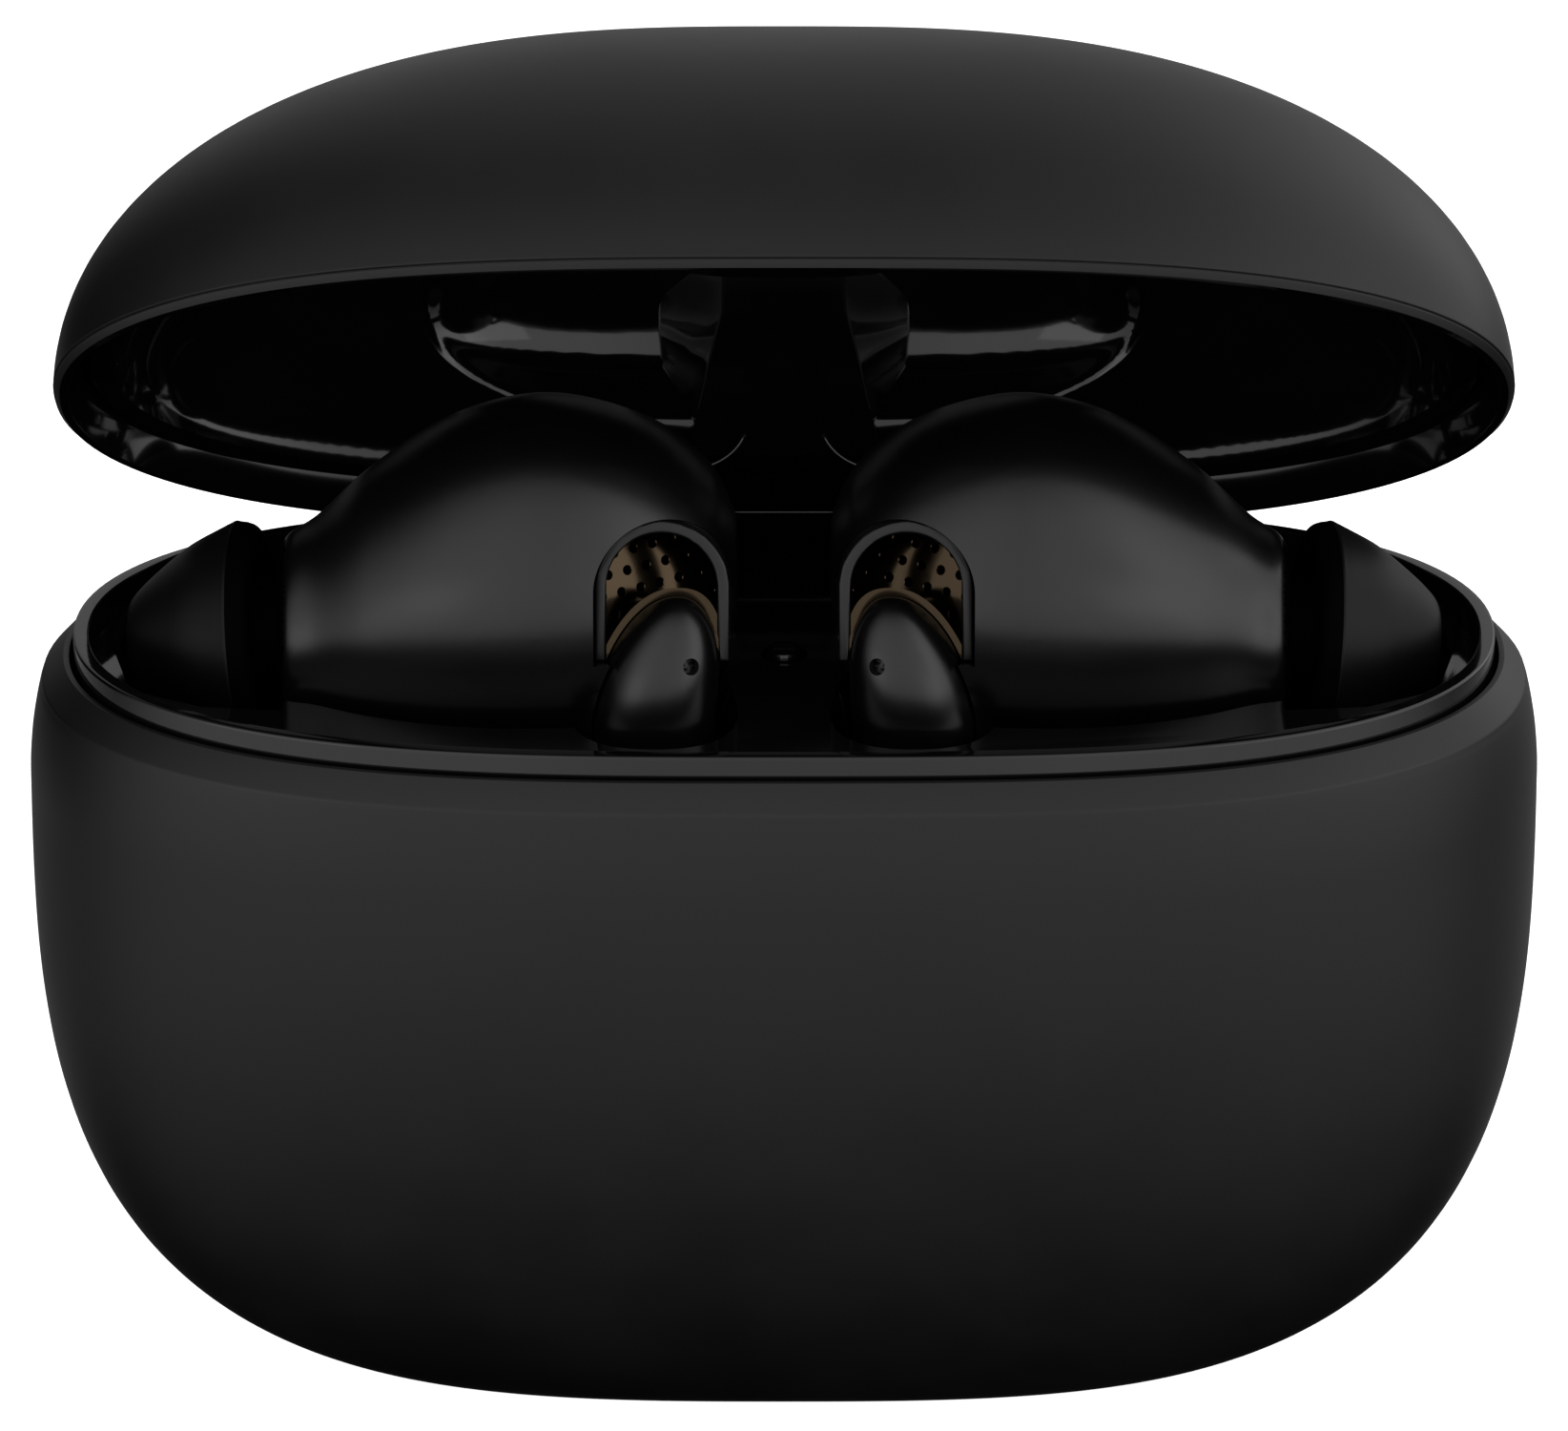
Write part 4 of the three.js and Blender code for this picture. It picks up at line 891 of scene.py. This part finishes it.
def housing():
    body = combine(bulb(0), [shroud(0)], "UNION")
    body = remeshed(body, 0.2, 14)
    neck = along_nozzle("neck", [(0, 19.8), (2.4, 19.8), (2.4, 24.35), (2.25, 24.5), (0, 24.5)], 64)
    combine(body, [neck], "UNION")
    bore = along_nozzle("bore", [(0, 17.5), (1.7, 17.5), (1.7, 25.5), (0, 25.5)], 64)
    cavity = bulb(-0.9, 64, 4)
    bezel_room = arch_prism(arch(0.03), 3, -1.9)
    plate_room = arch_prism(arch(0.03), 4.2, 0.5)
    combine(body, [bore, cavity, bezel_room, plate_room, stem_column(0.12)], "DIFFERENCE")
    # Painted shade: the neck faces beyond x 21.1 take the near black shade material, standing for the
    # shadowed gap between the housing and the ear tip.
    two_materials(body, PAINTED_SHADE_BLACK, lambda face: face.center.x > 21.1)
    return body


def bezel():
    """The arch ring, and the wall of the recess behind it."""
    outer = arch(0.0, ARCH_DROP - 0.03)
    band = arch_prism(outer, 1.0, -0.15)
    combine(band, [arch_prism(arch(-ARCH_BAND, 5.2), 3, -1)], "DIFFERENCE")
    softened(band, 0.12, 28)
    tunnel = arch_prism(outer, 3.8, 0.6)
    combine(tunnel, [arch_prism(arch(-0.4, 5.2), 6, 0)], "DIFFERENCE")
    inside = combine(bulb(-0.02), [shroud(-0.02)], "UNION")
    combine(tunnel, [inside], "INTERSECT")
    return combine(combine(band, [tunnel], "UNION"), [stem_column(0.12)], "DIFFERENCE")


def grille():
    """Bronze plate across the alcove, turned towards the middle, and a collar behind the stem's dome."""
    turn = (Matrix.Translation(Vector((ALCOVE[0] + 2.3, ALCOVE[1] + 0.9, LEDGE + ALCOVE[2])))
            @ Matrix.Rotation(-PLATE_TURN, 4, "Z") @ Matrix.Rotation(-PLATE_LEAN, 4, "X"))
    plate = block(16, 0.3, 16, 0, 0, 0)
    plate.data.transform(turn)
    combine(plate, [arch_prism(arch(-PLATE_MARGIN), 5.0, 0.3)], "INTERSECT")
    hole = [(0, -0.4), (0.19, -0.4), (0.19, 0.12), (0.23, 0.16), (0.23, 0.4), (0, 0.4)]
    drills = []
    for row in range(6):
        for place in range(8):
            across, up = -6.1 + 0.95 * place + 0.47 * (row % 2), -1.4 + 0.84 * row
            place_hole = Matrix.Translation((across, 0, up)) @ Matrix.Rotation(math.pi, 4, "Z")
            drill = turned("drill", hole, "Y", 24)
            drill.data.transform(turn @ place_hole)
            drills.append(drill)
    combine(plate, drills, "DIFFERENCE")
    around = np.linspace(0, 2 * math.pi, 8)[:-1]
    collar = arch_prism([(6 * math.cos(a), 6 * math.sin(a)) for a in around], 0.35, 0.4)
    inside = arch_prism(arch(-PLATE_MARGIN), 3.0, -1.0)
    combine(collar, [stem_column(0.30), inside], "INTERSECT")
    combine(plate, [collar], "UNION")
    return combine(plate, [stem_column(0.06)], "DIFFERENCE")


def stem():
    body = stem_column(0, STEM_BOTTOM + 0.9)
    profile = [(STEM_BOTTOM - 1, 1), (STEM_TOP - STEM_DOME, 1), (STEM_TOP - 1.2, 0.62)]
    room = column(STEM, STEM_HALF, STEM_POWER, profile, -0.7)
    return combine(body, [room, microphone_rod(0.36, 1.6, 0.0)], "DIFFERENCE")


def microphone_rod(radius, length, behind):
    """A rod square to the stem's surface at the microphone, centred some way behind it."""
    thing = rod(radius, length, "Y", 0, behind, 0, 48)
    x, y, z = MICROPHONE
    thing.data.transform(Matrix.Translation((x, y, LEDGE + z)) @ Matrix.Rotation(-MICROPHONE_TURN, 4, "Z")
                         @ Matrix.Rotation(math.radians(-14), 4, "X"))
    return thing


def microphone_mesh():
    return microphone_rod(0.34, 0.1, 0.6)


def stem_cap():
    edge = [(STEM_BOTTOM + 0.62 - 0.62 * math.sin(a), 0.78 + 0.22 * math.cos(a))
            for a in np.linspace(math.pi / 2, 0, 12)]
    disc = column(STEM, STEM_HALF, STEM_POWER, edge)
    plug = column(STEM, STEM_HALF, STEM_POWER, [(STEM_BOTTOM + 0.3, 1), (STEM_BOTTOM + 2.2, 1)], -1.0)
    combine(disc, [plug], "UNION")
    return combine(disc, [rod(0.75, 0.8, "Z", x, y, LEDGE + STEM_BOTTOM) for x, y in CONTACTS], "DIFFERENCE")


def eartip():
    dome = smooth_path([(1.35, 27.45), (1.5, 27.7), (1.8, 27.6), (2.3, 27.15), (3.2, 26.05), (4.0, 24.9),
                        (4.62, 23.6), (4.84, 23.1)], 8)
    rim = smooth_path([(4.84, 23.1), (4.9, 22.95), (4.86, 22.82)], 4)[1:]
    skirt = smooth_path([(4.86, 22.82), (4.8, 22.5), (4.65, 22.2), (4.3, 22.0), (3.8, 22.1)], 6)[1:]
    tube = [(3.35, 22.15), (2.75, 22.15), (2.45, 22.3), (2.45, 24.7), (1.7, 25.1), (1.35, 25.5)]
    profile = [tuple(p) for p in np.concatenate([dome, rim, skirt])] + tube
    profile.append(profile[0])
    tip = turned("eartip", profile, "X", 128, (0, NOZZLE[1], LEDGE + NOZZLE[2]))
    # Painted shade: the skirt and tube faces, below x 22.9, take the near black shade material, standing for
    # the deep shadow behind the tip's rim.
    two_materials(tip, PAINTED_SHADE_BLACK, lambda face: face.center.x < 22.9)
    return on_nozzle(tip)


def nozzle_mesh():
    return along_nozzle("mesh", [(0, 23.8), (1.68, 23.8), (1.68, 24.0), (0, 24.15)], 64)


BUD_PIECES = [  # builder, name, material slot, smallest angle of a sharp edge
    (housing, "housing", "bud_satin", 30),
    (bezel, "bezel", "bud_gloss", 30),
    (grille, "grille", "bronze", 30),
    (stem, "stem", "bud_satin", 35),
    (stem_cap, "stem_cap", "bud_satin", 35),
    (microphone_mesh, "microphone_mesh", "dark_mesh", 35),
    (nozzle_mesh, "nozzle_mesh", "dark_mesh", 35),
    (eartip, "eartip", "tip_rubber", 25),
]
for builder, piece, slot_name, sharp in BUD_PIECES:
    right = builder()
    for side, thing in (("left", reflected(right)), ("right", right)):
        finished(thing, f"{side}_{piece}", f"{side}_earbud", slot_name, MATERIALS[slot_name],
                 f"{side}_bud_{piece}", sharp=sharp)

# ---------------------------------------------------------------- stage, camera and lights


def stage_plane(name, size, z):
    """White floor that neither lights the case nor shows in it."""
    corners = [(-size, -size, z), (size, -size, z), (size, size, z), (-size, size, z)]
    floor = make(name, corners, [(0, 1, 2, 3)])
    material, tree, bsdf = shader(name)
    shade = tinted(tree, noise(tree, 3.0, 2), (0.93, 0.93, 0.93), (0.95, 0.95, 0.95))
    tree.links.new(shade, bsdf.inputs["Base Color"])
    bsdf.inputs["Roughness"].default_value = 0.9
    bsdf.inputs["Specular IOR Level"].default_value = 0.1
    tree.links.new(shade, bsdf.inputs["Emission Color"])
    bsdf.inputs["Emission Strength"].default_value = 1.0
    floor.data.materials.append(material)
    floor.visible_glossy = floor.visible_diffuse = False


stage_plane("floor", 4.0, 0.0)


def studio_light():
    """World light: a broad soft source in front, weaker ones right and behind, a faint low band behind."""
    world = bpy.data.worlds.new("studio")
    bpy.context.scene.world = world
    world.use_nodes = True
    tree = world.node_tree
    place = node(tree, "TexCoord")
    parts = node(tree, "SeparateXYZ")
    tree.links.new(place.outputs["Generated"], parts.inputs["Vector"])

    def fade(source, start, end, low=0.0, high=1.0):
        limits = {"From Min": start, "From Max": end, "To Min": low, "To Max": high}
        ramp = node(tree, "MapRange", limits, interpolation_type="SMOOTHSTEP")
        tree.links.new(source, ramp.inputs["Value"])
        return ramp.outputs["Result"]

    def calc(operation, a, b):
        step = node(tree, "Math", operation=operation)
        tree.links.new(a, step.inputs[0])
        tree.links.new(b, step.inputs[1])
        return step.outputs[0]

    def lobe(axis, outer, inner, strength):
        """A round soft source: full within the inner angle and gone beyond the outer one, in degrees."""
        aim = node(tree, "VectorMath", operation="DOT_PRODUCT")
        tree.links.new(place.outputs["Generated"], aim.inputs[0])
        aim.inputs[1].default_value = Vector(axis).normalized()
        edges = [math.cos(math.radians(angle)) for angle in (outer, inner)]
        return fade(aim.outputs["Value"], *edges, 0.0, strength)

    across, depth, height = (parts.outputs[axis] for axis in "XYZ")
    front = fade(depth, 0.30, -0.60)
    low = fade(height, -1.05, -0.1, 0.0, 0.94)
    high = fade(height, 0.45, 0.98, 1.0, 0.95)
    sideways = node(tree, "Math", operation="ABSOLUTE")
    tree.links.new(across, sideways.inputs[0])
    middle = fade(sideways.outputs[0], 0.0, 0.22, 0.85, 1.0)
    broad = calc("MULTIPLY", calc("MULTIPLY", front, middle), calc("MULTIPLY", low, high))
    band = calc("MULTIPLY", fade(height, -0.22, -0.40, 0.0, 0.20), fade(height, -0.68, -0.46))
    broad = calc("ADD", broad, calc("MULTIPLY", band, fade(depth, -0.6, 0.1)))
    level_up = fade(height, -0.3, 0.05)
    right = calc("MULTIPLY", lobe((0.85, 0.20, 0.36), 62, 12, 0.85), level_up)
    back = lobe((0.20, 0.85, 0.48), 62, 10, 0.42)
    total = calc("ADD", broad, calc("ADD", right, back))
    tree.links.new(total, tree.nodes["Background"].inputs["Color"])


studio_light()


SOFTBOX_SIZE = (0.5, 0.28)  # metres
SOFTBOX_POWER = 0.22
SOFTBOX_TARGET = (0, 0, 0.03)


def softbox(name, place):
    light = bpy.data.lights.new(name, "AREA")
    light.shape = "RECTANGLE"
    light.size, light.size_y = SOFTBOX_SIZE
    light.energy = SOFTBOX_POWER
    thing = bpy.data.objects.new(name, light)
    bpy.context.scene.collection.objects.link(thing)
    thing.location = place
    thing.rotation_euler = (Vector(SOFTBOX_TARGET) - Vector(place)).to_track_quat("-Z", "Y").to_euler()
    thing.visible_camera = False


softbox("softbox_left", (-0.60, -0.62, 0.14))
softbox("softbox_right", (0.60, -0.62, 0.14))

CAMERA_ELEVATION = math.radians(24.34)
CAMERA_DISTANCE = 0.6
AIM = Vector((0, 0, (LEDGE - 3.09) * MM))
FRAME_WIDTH = 1644 / 24.70  # what the camera sees from side to side at the aim, in millimetres
camera = bpy.data.cameras.new("camera")
camera.sensor_width = 36.0
camera.lens = camera.sensor_width * CAMERA_DISTANCE / (FRAME_WIDTH * MM)
camera.clip_start = 0.01
viewer = bpy.data.objects.new("camera", camera)
bpy.context.scene.collection.objects.link(viewer)
viewer.location = AIM + CAMERA_DISTANCE * Vector((0, -math.cos(CAMERA_ELEVATION), math.sin(CAMERA_ELEVATION)))
viewer.rotation_euler = (AIM - viewer.location).to_track_quat("-Z", "Y").to_euler()
bpy.context.scene.camera = viewer
bpy.context.scene.view_settings.view_transform = "Standard"
